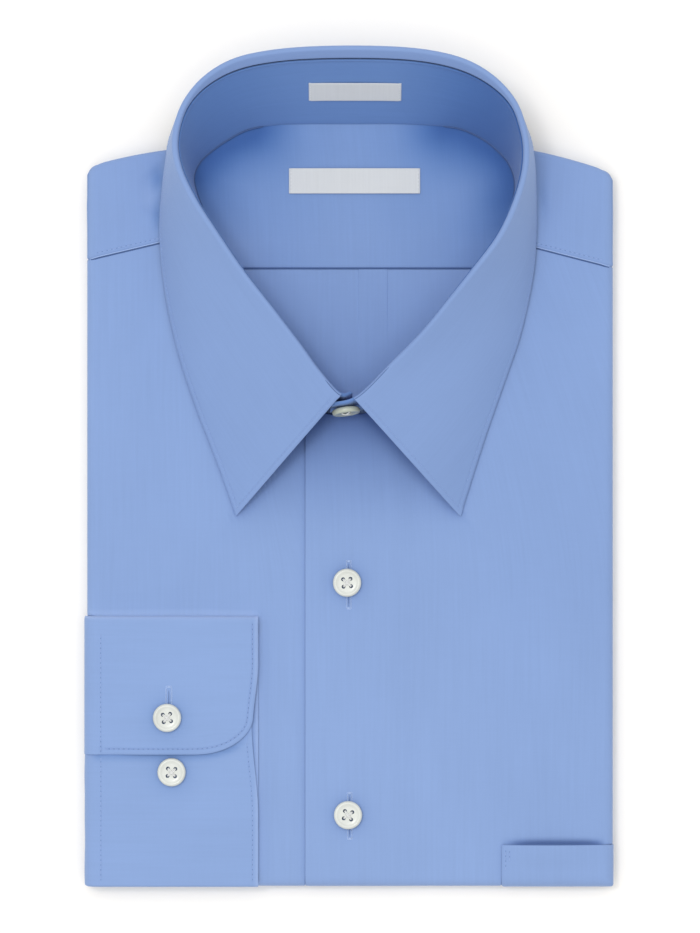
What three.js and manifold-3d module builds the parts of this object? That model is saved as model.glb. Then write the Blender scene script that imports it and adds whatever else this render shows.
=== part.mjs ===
// A long sleeve dress shirt, folded flat the way shirts are packed: fronts up, collar standing,
// sides, sleeves and tail folded underneath, one buttoned cuff brought round onto the front.
// Millimetres. +Z is up from the surface it lies on, +Y points to the collar, +X to the reader's right.

import * as THREE from "three";
import { mergeVertices } from "three/addons/utils/BufferGeometryUtils.js";
import Module from "manifold-3d";

const wasm = await Module();
wasm.setup();

// Driving dimensions
const GAP = 0.3; // between pieces at seams and between layers
const CLOTH = 1.2; // wall of the body panels
const YOKE_WALL = 1.7; // the yoke is two layers of cloth
const COLLAR_WALL = 1.4; // interlined cloth of the collar and its band
const CUFF_WALL = 1.0;
const LABEL_WALL = 1.0;
const HALF_WIDTH = 107.3; // from the middle to a side fold
const BOTTOM = -171.2; // the bottom fold
const SIDE_FOLD = 4.5; // outer radius of the folds at the sides and the bottom
const HIDDEN_TOP = 9; // top of the hidden folded layers
const PACK_LEVEL = HIDDEN_TOP + GAP; // underside of the back and the yoke
const BACK_TOP = PACK_LEVEL + CLOTH;
const YOKE_TOP = PACK_LEVEL + YOKE_WALL;
const STRIP_TOP = YOKE_TOP + GAP + YOKE_WALL; // the yoke folded over onto the front
const FRONT_TOP = YOKE_TOP + GAP + CLOTH;
const OVERLAP_RISE = CLOTH + GAP; // the buttoned front lies on the other one
const OVERLAP_LEFT = -18.2; // its edge
const UNDERLAP_RIGHT = 13.5; // the edge of the front under it
const OVERLAP_SETTLES = { from: 15.5, over: 14 };
const TUCK_TURN = 2.88; // radians that a front's side fold turns through
const CORNER_POWER = 6; // how square the folded corners are
const BOTTOM_EASE = 8; // how far above the bottom fold a change in the fold reaches

// The rectangle inside the folds
const INNER_X = HALF_WIDTH - SIDE_FOLD;
const INNER_Y = BOTTOM + SIDE_FOLD;

// The sleeve end and its cuff, brought round the left side
const CUFF = {
  top: -60.9,
  handEnd: -37.4,
  overlapEnd: -117.2,
  underEnd: -92,
  cornerRadius: 19,
  seamTurn: 0.6,
};
const SLEEVE_THICK = 2 * CUFF_WALL + GAP;
const SLEEVE_TUCK = -92; // how far under the pack the sleeve shows
const SQUEEZE = { depth: 1.6, from: -57.8, over: 2.8 }; // the side is pressed in under the sleeve

// The patch pocket, run over the side and bottom folds with its front. Its mouth stands open a little.
const POCKET = { left: 61.8, top: -154.2, wall: 1.0, turn: 2.2, gape: 1.6, pressOver: 2.5 };
const POCKET_PRESS = POCKET.wall + GAP; // the folds are pressed in under it
const PRESS_FADES = { from: 80, over: 20 }; // how far in from a side the pressing is felt

const BUTTON = { radius: 5.8, thick: 2.6, rim: 1.2, dish: 0.7, hole: 0.8, holeFromMiddle: 2.1 };

// Small helpers
const clamp = (value, low, high) => Math.min(Math.max(value, low), high);
const mix = (a, b, t) => a + (b - a) * t;
const smooth = (t) => {
  const k = clamp(t, 0, 1);
  return k * k * (3 - 2 * k);
};
const range = (from, to, count) => Array.from({ length: count + 1 }, (_, i) => mix(from, to, i / count));

// The value at x of a line through table rows [x, y], rising in x
function along(table, x) {
  const last = table.length - 1;
  let i = 0;
  while (i < last - 1 && x > table[i + 1][0]) i += 1;
  const [x0, y0] = table[i];
  const [x1, y1] = table[i + 1];
  return mix(y0, y1, clamp((x - x0) / (x1 - x0), 0, 1));
}

// Solids from grids of points
function geometryFrom(points, triangles) {
  const geometry = new THREE.BufferGeometry();
  geometry.setAttribute("position", new THREE.Float32BufferAttribute(points.flat(), 3));
  geometry.setIndex(triangles);
  return geometry;
}

// A wall between an outer and an inner grid of the same size. With closed = true the rows run round a tube.
function wallBetween(outer, inner, closed = false) {
  const rows = outer.length;
  const columns = outer[0].length;
  const points = [...outer.flat(), ...inner.flat()];
  const triangles = [];
  const at = (i, j, side) => side * rows * columns + (i % rows) * columns + j;
  const quad = (a, b, c, d) => triangles.push(a, b, c, a, c, d);
  const lastRow = closed ? rows : rows - 1;
  for (let i = 0; i < lastRow; i += 1) {
    for (let j = 0; j < columns - 1; j += 1) {
      quad(at(i, j, 0), at(i, j + 1, 0), at(i + 1, j + 1, 0), at(i + 1, j, 0));
      quad(at(i, j, 1), at(i + 1, j, 1), at(i + 1, j + 1, 1), at(i, j + 1, 1));
    }
    quad(at(i, 0, 1), at(i, 0, 0), at(i + 1, 0, 0), at(i + 1, 0, 1));
    const j = columns - 1;
    quad(at(i, j, 0), at(i, j, 1), at(i + 1, j, 1), at(i + 1, j, 0));
  }
  if (!closed) {
    for (let j = 0; j < columns - 1; j += 1) {
      quad(at(0, j, 0), at(0, j, 1), at(0, j + 1, 1), at(0, j + 1, 0));
      const i = rows - 1;
      quad(at(i, j, 1), at(i, j, 0), at(i, j + 1, 0), at(i, j + 1, 1));
    }
  }
  return geometryFrom(points, facingOut(points, triangles));
}

// The triangles turned round where the volume they close comes out negative
function facingOut(points, triangles) {
  let volume = 0;
  for (let k = 0; k < triangles.length; k += 3) {
    const [a, b, c] = [0, 1, 2].map((n) => points[triangles[k + n]]);
    volume += a[0] * (b[1] * c[2] - b[2] * c[1]);
    volume += a[1] * (b[2] * c[0] - b[0] * c[2]);
    volume += a[2] * (b[0] * c[1] - b[1] * c[0]);
  }
  if (volume >= 0) return triangles;
  const turned = [];
  for (let k = 0; k < triangles.length; k += 3) turned.push(triangles[k], triangles[k + 2], triangles[k + 1]);
  return turned;
}

// The normals of a grid of points, from the lines to each point's neighbours
function gridNormals(grid) {
  const point = (i, j) => new THREE.Vector3(...grid[i][j]);
  const rows = grid.length - 1;
  const columns = grid[0].length - 1;
  return grid.map((row, i) =>
    row.map((_, j) => {
      const across = point(i, Math.min(j + 1, columns)).sub(point(i, Math.max(j - 1, 0)));
      const down = point(Math.min(i + 1, rows), j).sub(point(Math.max(i - 1, 0), j));
      return down.cross(across).normalize();
    }),
  );
}

// A grid moved along its normals
function moved(grid, distance) {
  const normals = gridNormals(grid);
  const movedPoint = (p, normal) => new THREE.Vector3(...p).addScaledVector(normal, distance).toArray();
  return grid.map((row, i) => row.map((p, j) => movedPoint(p, normals[i][j])));
}

function manifoldOf(geometry) {
  const plain = geometry.clone();
  plain.deleteAttribute("normal");
  plain.deleteAttribute("uv");
  const merged = mergeVertices(plain, 1e-4);
  const vertProperties = new Float32Array(merged.attributes.position.array);
  const triVerts = new Uint32Array(merged.index.array);
  return new wasm.Manifold(new wasm.Mesh({ numProp: 3, vertProperties, triVerts }));
}

function geometryOf(manifold) {
  const mesh = manifold.getMesh();
  const geometry = new THREE.BufferGeometry();
  geometry.setAttribute("position", new THREE.BufferAttribute(new Float32Array(mesh.vertProperties), 3));
  geometry.setIndex(new THREE.BufferAttribute(new Uint32Array(mesh.triVerts), 1));
  return geometry;
}

// Outlines of the flat pack, as [x, y] rows

// The neckline of the fronts, from the left yoke seam round the middle to the right one
const NECKLINE = [
  [-58.2, 96.0],
  [-48.0, 76.5],
  [-38.2, 59.8],
  [-30.0, 44.6],
  [-20.2, 29.5],
  [-10.8, 21.4],
  [-8.0, 20.6],
  [5.5, 20.9],
  [24.4, 32.6],
  [37.7, 49.5],
  [48.0, 65.0],
  [55.3, 77.7],
  [63.9, 92.6],
];

const NECK_REACH = 64; // half the width of the opening in the fronts

// Where the yoke strips stop beside the collar band, on the left and on the right
const STRIP_NECK = [
  { y: 92.6, left: -56.2, right: 63.9 },
  { y: 96.0, left: -58.2, right: 64.6 },
  { y: 108.0, left: -63.8, right: 68.3 },
  { y: 117.0, left: -66.0, right: 69.9 },
  { y: 131.0, left: -66.6, right: 70.2 },
];

// The back neck edge of the yoke, as [x, y] rows
const BACK_NECK = [
  [-72.0, 127.0],
  [-66.0, 127.8],
  [-58.0, 131.6],
  [-51.5, 136.1],
  [-43.5, 140.2],
  [-31.0, 142.3],
  [0.0, 142.8],
  [34.0, 142.2],
  [46.5, 141.2],
  [56.5, 135.9],
  [63.0, 130.6],
  [68.5, 127.6],
  [73.0, 127.0],
];

// The shoulder folds fall away from the collar
const SHOULDER = {
  start: 74,
  curve: 0.0024,
  left: { height: 129.2, slope: 0.13 },
  right: { height: 129.0, slope: 0.2 },
};
const FRONT_SEAM = {
  left: { x: -78.2, y: 91.0, slope: 0.245 },
  right: { x: 76.6, y: 89.4, slope: -0.258 },
};
const BACK_SEAM = 80.9; // where the yoke meets the back panel

function shoulderFold(x) {
  const side = x < 0 ? SHOULDER.left : SHOULDER.right;
  const beyond = Math.max(Math.min(Math.abs(x), HALF_WIDTH) - SHOULDER.start, 0);
  return side.height - side.slope * beyond - SHOULDER.curve * beyond * beyond;
}

function frontSeam(x) {
  const side = x < 0 ? FRONT_SEAM.left : FRONT_SEAM.right;
  return side.y + side.slope * (clamp(x, -INNER_X, INNER_X) - side.x);
}

function stripNeck(y, side) {
  return along(STRIP_NECK.map((row) => [row.y, row[side]]), y);
}

// How far the left side is pressed in by the sleeve round it, and the right side by the pocket
function sidePressed(side, y) {
  if (side < 0) return SQUEEZE.depth * smooth((SQUEEZE.from - y) / SQUEEZE.over);
  return POCKET_PRESS * smooth((POCKET.top + POCKET.pressOver + 1 - y) / POCKET.pressOver);
}

const pressedHere = (x) => smooth((Math.abs(x) - PRESS_FADES.from) / PRESS_FADES.over);

function bottomPressed(x) {
  return POCKET_PRESS * smooth((x - POCKET.left + POCKET.pressOver + 1) / POCKET.pressOver);
}

// A point of a front, u and v measured along the cloth. Past the inner rectangle the cloth turns round
// the fold. depth is how far under the outer face the point lies. Where the two fronts overlap, by the
// share given, they turn round one middle, the upper one on a larger radius and the lower on a smaller.
function frontPoint(u, v, depth, share, layer) {
  const side = Math.sign(u) || 1;
  const a = Math.max(Math.abs(u) - INNER_X, 0) / SIDE_FOLD;
  const b = Math.max(INNER_Y - v, 0) / SIDE_FOLD;
  const turn = Math.max(a, b);
  const spread = Math.pow(Math.pow(a, CORNER_POWER) + Math.pow(b, CORNER_POWER), 1 / CORNER_POWER) || 1;
  const apart = (OVERLAP_RISE / 2) * share;
  const radius = SIDE_FOLD + (layer === "over" ? apart : -apart) - depth;
  const outward = radius * Math.sin(turn);
  const inX = clamp(Math.abs(u), 0, INNER_X) - sidePressed(side, v) * pressedHere(u);
  const nearBottom = 1 - smooth((v - INNER_Y) / BOTTOM_EASE);
  return [
    side * (inX + (outward * a) / spread),
    Math.max(v, INNER_Y) + (apart + bottomPressed(u)) * nearBottom - (outward * b) / spread,
    FRONT_TOP - SIDE_FOLD + apart + radius * Math.cos(turn),
  ];
}

// The share of the overlap's thickness that lifts each front, fading to the side where it ends
const UNDER_DIPS = { from: OVERLAP_LEFT - 3.5, over: 3 };
const overShare = (u) => 1 - smooth((u - OVERLAP_SETTLES.from) / OVERLAP_SETTLES.over);
const underShare = (u) => smooth((u - UNDER_DIPS.from) / UNDER_DIPS.over);

const TUCK = TUCK_TURN * SIDE_FOLD; // cloth length round a fold
const FOLD_STEPS = 6;
const foldRows = range(INNER_Y - TUCK, INNER_Y, FOLD_STEPS);
const bottomRows = [...foldRows, INNER_Y + BOTTOM_EASE, POCKET.top, POCKET.top + POCKET.pressOver + 1];
const pressedRows = [SQUEEZE.from - SQUEEZE.over, SQUEEZE.from - SQUEEZE.over / 2, SQUEEZE.from];
const upperRows = [0.36, 0.4, 0.48, 0.6, 0.8, 1];

// A front panel over the columns us, up to its yoke seam and neckline
function frontPanel(us, shareAt, layer) {
  const neck = (u) => (Math.abs(u) > NECK_REACH ? Infinity : along(NECKLINE, u));
  const top = (u) => Math.min(frontSeam(u) - GAP, neck(u));
  const face = (depth) =>
    us.map((u) => {
      const vs = [...bottomRows, ...pressedRows, ...upperRows.map((t) => mix(SQUEEZE.from, top(u), t))];
      return vs.map((v) => frontPoint(u, v, depth, shareAt(u), layer));
    });
  return wallBetween(face(0), face(CLOTH));
}

function frontRight() {
  const fold = range(-INNER_X - TUCK, -INNER_X, FOLD_STEPS);
  const dip = range(UNDER_DIPS.from, UNDER_DIPS.from + UNDER_DIPS.over, 2);
  const flat = [-98, -80, -66, -58.2, -48, -38.2, -30, ...dip, -10.8, -8, 5.5, UNDERLAP_RIGHT];
  return frontPanel([...fold, ...flat], underShare, "under");
}

function frontLeft() {
  const placket = [OVERLAP_LEFT, -10.8, -8, 5.5, 15.5, 19, 22.5, 26, 29.5];
  const flat = [37.7, 48, 55.8, 58.3, 60.8, 63.9, 80, 98];
  return frontPanel([...placket, ...flat, ...range(INNER_X, INNER_X + TUCK, FOLD_STEPS)], overShare, "over");
}

function pocket() {
  const reach = POCKET.turn * SIDE_FOLD;
  const us = [POCKET.left, 68, 78, 88, 96, ...range(INNER_X, INNER_X + reach, 5)];
  const vs = [...range(INNER_Y - reach, INNER_Y, 5), -162, INNER_Y + BOTTOM_EASE, -156.5, POCKET.top];
  const face = (height) =>
    us.map((u) =>
      vs.map((v) => {
        const middle = Math.sin(Math.PI * clamp((u - POCKET.left) / (INNER_X - POCKET.left), 0, 1));
        const open = POCKET.gape * middle * smooth((v - INNER_Y) / (POCKET.top - INNER_Y));
        return frontPoint(u, v, -height - open, 0, "over");
      }),
    );
  return wallBetween(face(GAP + POCKET.wall), face(GAP));
}

// The back panel, seen inside the collar, with its centre pleat
const PLEAT = { left: 3.3, right: 15.5, height: 0.5, edge: 0.4, fades: { from: 40, over: 30 } };
function pleatRise(x, y) {
  const inside = smooth((x - PLEAT.left) / PLEAT.edge) * smooth((PLEAT.right - x) / PLEAT.edge);
  return PLEAT.height * inside * smooth((y - PLEAT.fades.from) / PLEAT.fades.over);
}

function back() {
  const edge = INNER_X - 4;
  const { left, right } = PLEAT;
  const xs = [-edge, -60, -20, left, left + PLEAT.edge, right - PLEAT.edge, right, 60, edge];
  const ys = [INNER_Y + 4, -60, 20, 40, 50, 60, BACK_SEAM - GAP];
  const face = (z, lift) => xs.map((x) => ys.map((y) => [x, y, z + lift * pleatRise(x, y)]));
  return wallBetween(face(BACK_TOP, 1), face(PACK_LEVEL, 0));
}

// The yoke: the layer under the neck, folded over at the shoulders into a strip on each front
const YOKE_FOLD = (STRIP_TOP - PACK_LEVEL) / 2; // outer radius of the shoulder folds
function yokeStrip(side) {
  const sign = side === "left" ? -1 : 1;
  const sideFold = range(1, 0, FOLD_STEPS).map((a) => ({ a, c: 0 }));
  const columns = [...sideFold, ...range(1 / 5, 1, 4).map((c) => ({ a: 0, c }))];
  const shoulderTurn = range(1 / 6, 1, 5).map((b) => ({ f: 1, b }));
  const rows = [...range(0, 1, 5).map((f) => ({ f, b: 0 })), ...shoulderTurn];
  const face = (depth) =>
    columns.map(({ a, c }) =>
      rows.map(({ f, b }) => {
        const place = (x) => mix(frontSeam(x), shoulderFold(x) - YOKE_FOLD, f);
        const near = Math.abs(stripNeck(place(sign * 60), side));
        const neck = Math.abs(stripNeck(place(sign * near), side));
        const x = sign * mix(INNER_X, neck, c);
        const spread = Math.pow(Math.pow(a, 3) + Math.pow(b, 3), 1 / 3) || 1;
        const fold = mix(SIDE_FOLD, YOKE_FOLD, b / (a + b || 1));
        const turn = mix(TUCK_TURN, Math.PI, b / (a + b || 1)) * Math.max(a, b);
        const outward = (fold - depth) * Math.sin(turn);
        return [
          x + (sign * outward * a) / spread,
          place(x) + (outward * b) / spread,
          STRIP_TOP - depth - (fold - depth) * (1 - Math.cos(turn)),
        ];
      }),
    );
  return wallBetween(face(0), face(YOKE_WALL));
}

function yokeUnder() {
  const edge = INNER_X - 0.5;
  const shoulderXs = [-edge, -96, -88, -80];
  const neckXs = BACK_NECK.map((row) => row[0]);
  const xs = [...shoulderXs, ...neckXs, 81, 89, 96, edge];
  const top = (x) => {
    const shoulder = shoulderFold(x) - YOKE_FOLD + GAP;
    return Math.abs(x) > 73 ? shoulder : Math.max(along(BACK_NECK, x), Math.min(shoulder, 127));
  };
  const face = (z) => xs.map((x) => [0, 0.3, 0.6, 1].map((t) => [x, mix(BACK_SEAM, top(x), t), z]));
  return wallBetween(face(YOKE_TOP), face(PACK_LEVEL));
}

function yoke() {
  const under = manifoldOf(yokeUnder());
  const joined = under.add(manifoldOf(yokeStrip("left"))).add(manifoldOf(yokeStrip("right")));
  return geometryOf(joined);
}

// The hidden layers: sides, sleeves and tail folded under, one rounded solid with grooves between the
// folds. Each row is a level with how far its outline lies inside the pack's, at the sides, at the bottom
// and at the shoulders.
const HIDDEN_LEVELS = [
  { z: 0, side: 1.9, bottom: 1.9, shoulder: 2.2 },
  { z: 0.5, side: 0.9, bottom: 0.9, shoulder: 1.3 },
  { z: 1.1, side: 0.6, bottom: 0.6, shoulder: 1.0 },
  { z: 1.5, side: 1.5, bottom: 1.5, shoulder: 1.6 },
  { z: 1.9, side: 0.7, bottom: 0.7, shoulder: 1.2 },
  { z: 2.5, side: 0.8, bottom: 0.8, shoulder: 1.2 },
  { z: 2.9, side: 1.8, bottom: 1.8, shoulder: 2.0 },
  { z: 3.2, side: 4.2, bottom: 5.0, shoulder: 2.2 },
  { z: 3.6, side: 4.2, bottom: 5.0, shoulder: 1.3 },
  { z: 5.0, side: 4.2, bottom: 5.0, shoulder: 1.3 },
  { z: 5.5, side: 4.2, bottom: 5.0, shoulder: 2.2 },
  { z: 6.3, side: 4.2, bottom: 5.0, shoulder: 1.7 },
  { z: 7.4, side: 2.9, bottom: 3.7, shoulder: 1.7 },
  { z: 8.4, side: 2.7, bottom: 3.3, shoulder: 1.8 },
  { z: HIDDEN_TOP, side: 3.1, bottom: 3.5, shoulder: 2.4 },
];

const UNDER_NECK = { reach: 73, back: 4.5 }; // the layers stop short of the yoke's neck edge
function hiddenOutline({ side, bottom, shoulder }) {
  const corner = 2.5;
  const half = HALF_WIDTH - side;
  const low = BOTTOM + bottom;
  const underNeck = (x) => (Math.abs(x) < UNDER_NECK.reach ? along(BACK_NECK, x) - UNDER_NECK.back : 0);
  const topAt = (x) => Math.max(shoulderFold(x), underNeck(x)) - shoulder;
  const lowAt = (x) => low + bottomPressed(x);
  const sideAt = (sign, y) => sign * (half - sidePressed(sign, y));
  const outline = [];
  const lowXs = [sideAt(-1, low) + corner, -60, -20, 20, 55.8, 58.3, 60.8, sideAt(1, low) - corner];
  lowXs.forEach((x) => outline.push([x, lowAt(x)]));
  const pocketYs = range(POCKET.top + 1, POCKET.top + POCKET.pressOver + 1, 2);
  const rightYs = [lowAt(half) + corner, ...pocketYs, topAt(half) - corner];
  rightYs.forEach((y) => outline.push([sideAt(1, y), y]));
  const shoulders = [96, 88, 80];
  const neckXs = BACK_NECK.map(([x]) => x).filter((x) => Math.abs(x) < UNDER_NECK.reach);
  const leftShoulders = shoulders.map((x) => -x).reverse();
  const topXs = [half - corner, ...shoulders, ...neckXs.reverse(), ...leftShoulders, corner - half];
  topXs.forEach((x) => outline.push([x, topAt(x)]));
  const sleeveYs = [...pressedRows].reverse();
  const leftYs = [topAt(-half) - corner, ...sleeveYs, low + corner];
  leftYs.forEach((y) => outline.push([sideAt(-1, y), y]));
  return outline;
}

function hiddenStack() {
  const outlines = HIDDEN_LEVELS.map((level) => hiddenOutline(level));
  const count = outlines[0].length;
  const points = outlines.flatMap((outline, k) => outline.map(([x, y]) => [x, y, HIDDEN_LEVELS[k].z]));
  const triangles = [];
  for (let k = 0; k < outlines.length - 1; k += 1) {
    for (let i = 0; i < count; i += 1) {
      const next = (i + 1) % count;
      const [a, b, c, d] = [k * count + i, k * count + next, (k + 1) * count + next, (k + 1) * count + i];
      triangles.push(a, b, c, a, c, d);
    }
  }
  const cap = (k, turned) => {
    const outline = outlines[k].map(([x, y]) => new THREE.Vector2(x, y));
    THREE.ShapeUtils.triangulateShape(outline, []).forEach((t) => {
      const [a, b, c] = t.map((n) => n + k * count);
      triangles.push(a, turned ? c : b, turned ? b : c);
    });
  };
  cap(0, true);
  cap(outlines.length - 1, false);
  return geometryFrom(points, triangles);
}

// The way of the sleeve: along the top of the front, round the left side and under the pack.
// s is the distance from where the turn starts, h the height over the side that faces the shirt.
const SLEEVE_WAY = {
  x: -(INNER_X - SQUEEZE.depth),
  high: FRONT_TOP - SIDE_FOLD,
  radius: SIDE_FOLD + GAP,
};
SLEEVE_WAY.low = SLEEVE_WAY.radius + SLEEVE_THICK;

function sleeveWay(turn, h) {
  const radius = SLEEVE_WAY.radius + h;
  const middle = turn > Math.PI / 2 ? SLEEVE_WAY.low : SLEEVE_WAY.high;
  return [SLEEVE_WAY.x - radius * Math.sin(turn), middle + radius * Math.cos(turn)];
}

// The space the sleeve needs in the hidden layers
function sleeveRoom() {
  const clear = SLEEVE_WAY.radius - GAP;
  const beyond = { x: -HALF_WIDTH - 10, y: BOTTOM - 5, low: -5, high: HIDDEN_TOP + 10 };
  const shape = new THREE.Shape();
  shape.moveTo(beyond.x, beyond.low);
  shape.lineTo(SLEEVE_TUCK + GAP, beyond.low);
  shape.lineTo(SLEEVE_TUCK + GAP, SLEEVE_WAY.low - clear);
  shape.lineTo(SLEEVE_WAY.x, SLEEVE_WAY.low - clear);
  shape.absarc(SLEEVE_WAY.x, SLEEVE_WAY.low, clear, -Math.PI / 2, -Math.PI, true);
  shape.lineTo(SLEEVE_WAY.x - clear, beyond.high);
  shape.lineTo(beyond.x, beyond.high);
  const length = CUFF.top + GAP - beyond.y;
  const geometry = new THREE.ExtrudeGeometry(shape, { depth: length, bevelEnabled: false, curveSegments: 8 });
  geometry.rotateX(Math.PI / 2);
  geometry.translate(0, CUFF.top + GAP, 0);
  return geometry;
}

function foldedLayers() {
  return geometryOf(manifoldOf(hiddenStack()).subtract(manifoldOf(sleeveRoom())));
}

// A flattened ring of cloth across the sleeve, as {y, h} points of its outer and inner face
function sleeveSection() {
  const outerRadius = SLEEVE_THICK / 2;
  const innerRadius = GAP / 2;
  const ends = [
    { y: CUFF.top - outerRadius, from: -Math.PI / 2 },
    { y: BOTTOM + outerRadius, from: Math.PI / 2 },
  ];
  const face = (radius) =>
    ends.flatMap((end) =>
      range(end.from, end.from + Math.PI, 6).map((angle) => ({
        y: end.y + radius * Math.cos(angle),
        h: outerRadius + radius * Math.sin(angle),
      })),
    );
  return { outer: face(outerRadius), inner: face(innerRadius) };
}

function sleeve() {
  const section = sleeveSection();
  const turns = range(CUFF.seamTurn + 0.05, Math.PI, 10);
  const tucked = [SLEEVE_TUCK - 4.5, SLEEVE_TUCK].map((x) => ({ turn: Math.PI, x }));
  const ways = [...turns.map((turn) => ({ turn, x: null })), ...tucked];
  const face = (points) =>
    points.map(({ y, h }) =>
      ways.map(({ turn, x }) => {
        const [wayX, z] = sleeveWay(turn, h);
        return [x ?? wayX, y, z];
      }),
    );
  return wallBetween(face(section.outer), face(section.inner), true);
}

// The cuff: from the end under the buttons round the bottom fold, up behind, round the top fold and
// down to the rounded end on top. Each row of its section has y and h for the outer and inner face.
function cuffSection() {
  const back = { from: 0, to: CUFF_WALL };
  const under = { from: CUFF_WALL + GAP, to: 2 * CUFF_WALL + GAP };
  const over = { from: 2 * (CUFF_WALL + GAP), to: 3 * CUFF_WALL + 2 * GAP };
  const low = { middle: (back.from + under.to) / 2, radius: (under.to - back.from) / 2 };
  const high = { middle: (back.from + over.to) / 2, radius: (over.to - back.from) / 2 };
  const rows = [];
  const row = (y, outerH, innerH) => rows.push({ outer: { y, h: outerH }, inner: { y, h: innerH } });
  const turn = (y, fold, from, steps) =>
    range(from, from + Math.PI, steps).forEach((angle) => {
      const across = Math.cos(angle);
      const up = Math.sin(angle);
      const point = (radius) => ({ y: y + radius * across, h: fold.middle + radius * up });
      rows.push({ outer: point(fold.radius), inner: point(fold.radius - CUFF_WALL) });
    });
  const topY = CUFF.top - high.radius;
  const lowY = BOTTOM + low.radius;
  const edgeEase = 15; // flat cloth between a fold and its first row
  range(CUFF.underEnd, lowY + edgeEase, 2).forEach((y) => row(y, under.to, under.from));
  turn(lowY, low, Math.PI / 2, 5);
  range(lowY + edgeEase, topY - edgeEase, 2).forEach((y) => row(y, back.from, back.to));
  turn(topY, high, -Math.PI / 2, 6);
  const flat = range(topY - 6, CUFF.overlapEnd + CUFF.cornerRadius, 2);
  const corner = range(CUFF.overlapEnd + CUFF.cornerRadius, CUFF.overlapEnd, 5).slice(1);
  [...flat, ...corner].forEach((y) => row(y, over.to, over.from));
  rows.overlapFrom = rows.length - corner.length - flat.length;
  return rows;
}

function cuff() {
  const rows = cuffSection();
  const cornerX = CUFF.handEnd - CUFF.cornerRadius;
  const cornerY = CUFF.overlapEnd + CUFF.cornerRadius;
  const flatXs = [SLEEVE_WAY.x, -80, ...range(cornerX, CUFF.handEnd, 5)];
  const turned = range(CUFF.seamTurn, 0.15, 3).map((turn) => ({ turn, x: null }));
  const ways = [...turned, ...flatXs.map((x) => ({ turn: 0, x }))];
  const face = (side) =>
    rows.map((row, i) =>
      ways.map(({ turn, x }) => {
        const { y, h } = row[side];
        const [wayX, z] = sleeveWay(turn, h);
        const dx = (x ?? wayX) - cornerX;
        const dy = cornerY - y;
        if (i < rows.overlapFrom || x === null || dx <= 0 || dy <= 0) return [x ?? wayX, y, z];
        const shrink = Math.max(dx, dy) / Math.hypot(dx, dy);
        return [cornerX + dx * shrink, cornerY - dy * shrink, z];
      }),
    );
  return wallBetween(face("outer"), face("inner"));
}

// The collar. Each row is a station round the neck, from the left front point to the right one: the
// band's foot, the top of the band where the leaf is sewn on, the leaf's free edge, and how far the leaf
// bows up on its way there.
const FOOT_LEVEL = YOKE_TOP + GAP;
const STATION_COLUMNS = ["footX", "footY", "topX", "topY", "topZ", "edgeX", "edgeY", "edgeZ", "arch"];
const COLLAR_STATIONS = [
  [-3.0, 25.6, -3.2, 29.3, 36.0, -46.4, -20.2, 13.9, 2.0],
  [-18.4, 31.1, -12.5, 37.6, 37.5, -53.8, 0.9, 13.9, 2.0],
  [-28.1, 46.2, -20.9, 48.8, 39.5, -61.5, 20.9, 13.9, 2.5],
  [-36.3, 61.3, -32.2, 63.2, 41.5, -68.8, 42.5, 14.0, 2.5],
  [-46.1, 78.0, -43.4, 78.4, 43.0, -74.1, 64.5, 14.1, 2.5],
  [-55.5, 95.1, -54.2, 94.4, 44.0, -76.6, 82.0, 14.3, 2.0],
  [-61.6, 109.0, -61.8, 108.1, 44.0, -77.4, 97.1, 14.6, 1.5],
  [-63.6, 117.6, -67.2, 120.0, 44.0, -76.4, 111.5, 14.6, 1.0],
  [-61.4, 123.6, -68.7, 129.0, 43.5, -75.0, 122.8, 14.8, 0.6],
  [-56.3, 128.6, -67.5, 137.5, 42.5, -73.0, 134.5, 13.0, 0.3],
  [-49.8, 133.1, -64.3, 145.2, 41.5, -68.5, 142.0, 7.0, 0],
  [-42.0, 137.1, -57.5, 152.6, 40.0, -58.0, 146.0, 5.0, 0],
  [-30.6, 139.2, -46.3, 158.9, 38.5, -43.0, 147.0, 4.5, 0],
  [-17.9, 139.6, -30.0, 162.6, 37.5, -26.0, 146.5, 4.2, 0],
  [0, 139.6, 0, 164.1, 37.0, 0, 145.5, 4.0, 0],
  [20.4, 139.6, 30.0, 162.6, 37.5, 26.0, 146.5, 4.2, 0],
  [33.4, 139.0, 46.7, 158.3, 38.5, 43.0, 147.0, 4.5, 0],
  [44.9, 137.6, 58.0, 151.7, 40.0, 58.0, 146.0, 5.0, 0],
  [54.6, 133.1, 64.7, 144.4, 41.5, 68.5, 142.0, 7.0, 0],
  [60.6, 128.2, 67.9, 135.9, 42.5, 73.0, 134.5, 13.0, 0.3],
  [65.0, 122.9, 69.3, 127.6, 43.5, 74.9, 123.8, 14.8, 0.6],
  [67.2, 116.0, 68.6, 118.0, 44.0, 75.5, 112.0, 14.6, 1.0],
  [66.1, 106.6, 65.0, 105.7, 44.0, 75.6, 97.1, 14.6, 1.5],
  [62.0, 93.9, 59.8, 92.8, 44.0, 75.0, 83.2, 14.3, 2.0],
  [53.4, 78.8, 50.2, 78.8, 43.0, 73.0, 69.8, 14.1, 2.5],
  [46.1, 66.2, 42.2, 67.6, 41.5, 68.9, 52.3, 14.0, 2.5],
  [35.9, 50.7, 30.6, 54.4, 39.5, 62.8, 34.3, 13.9, 2.5],
  [22.8, 34.4, 16.9, 42.0, 37.5, 54.6, 10.7, 13.9, 2.0],
  [4.1, 23.4, 1.4, 27.6, 36.0, 44.8, -20.2, 13.9, 2.0],
].map((row) => Object.fromEntries(row.map((value, i) => [STATION_COLUMNS[i], value])));

// Where the band's two ends run on past the middle of the front
const BAND_ENDS = {
  under: { footX: 8.0, footY: 29.2, topX: 6.6, topY: 35.8, topZ: 36.0 },
  over: { footX: -8.4, footY: 22.9, topX: -7.4, topY: 25.5, topZ: 35.2 },
};

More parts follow.
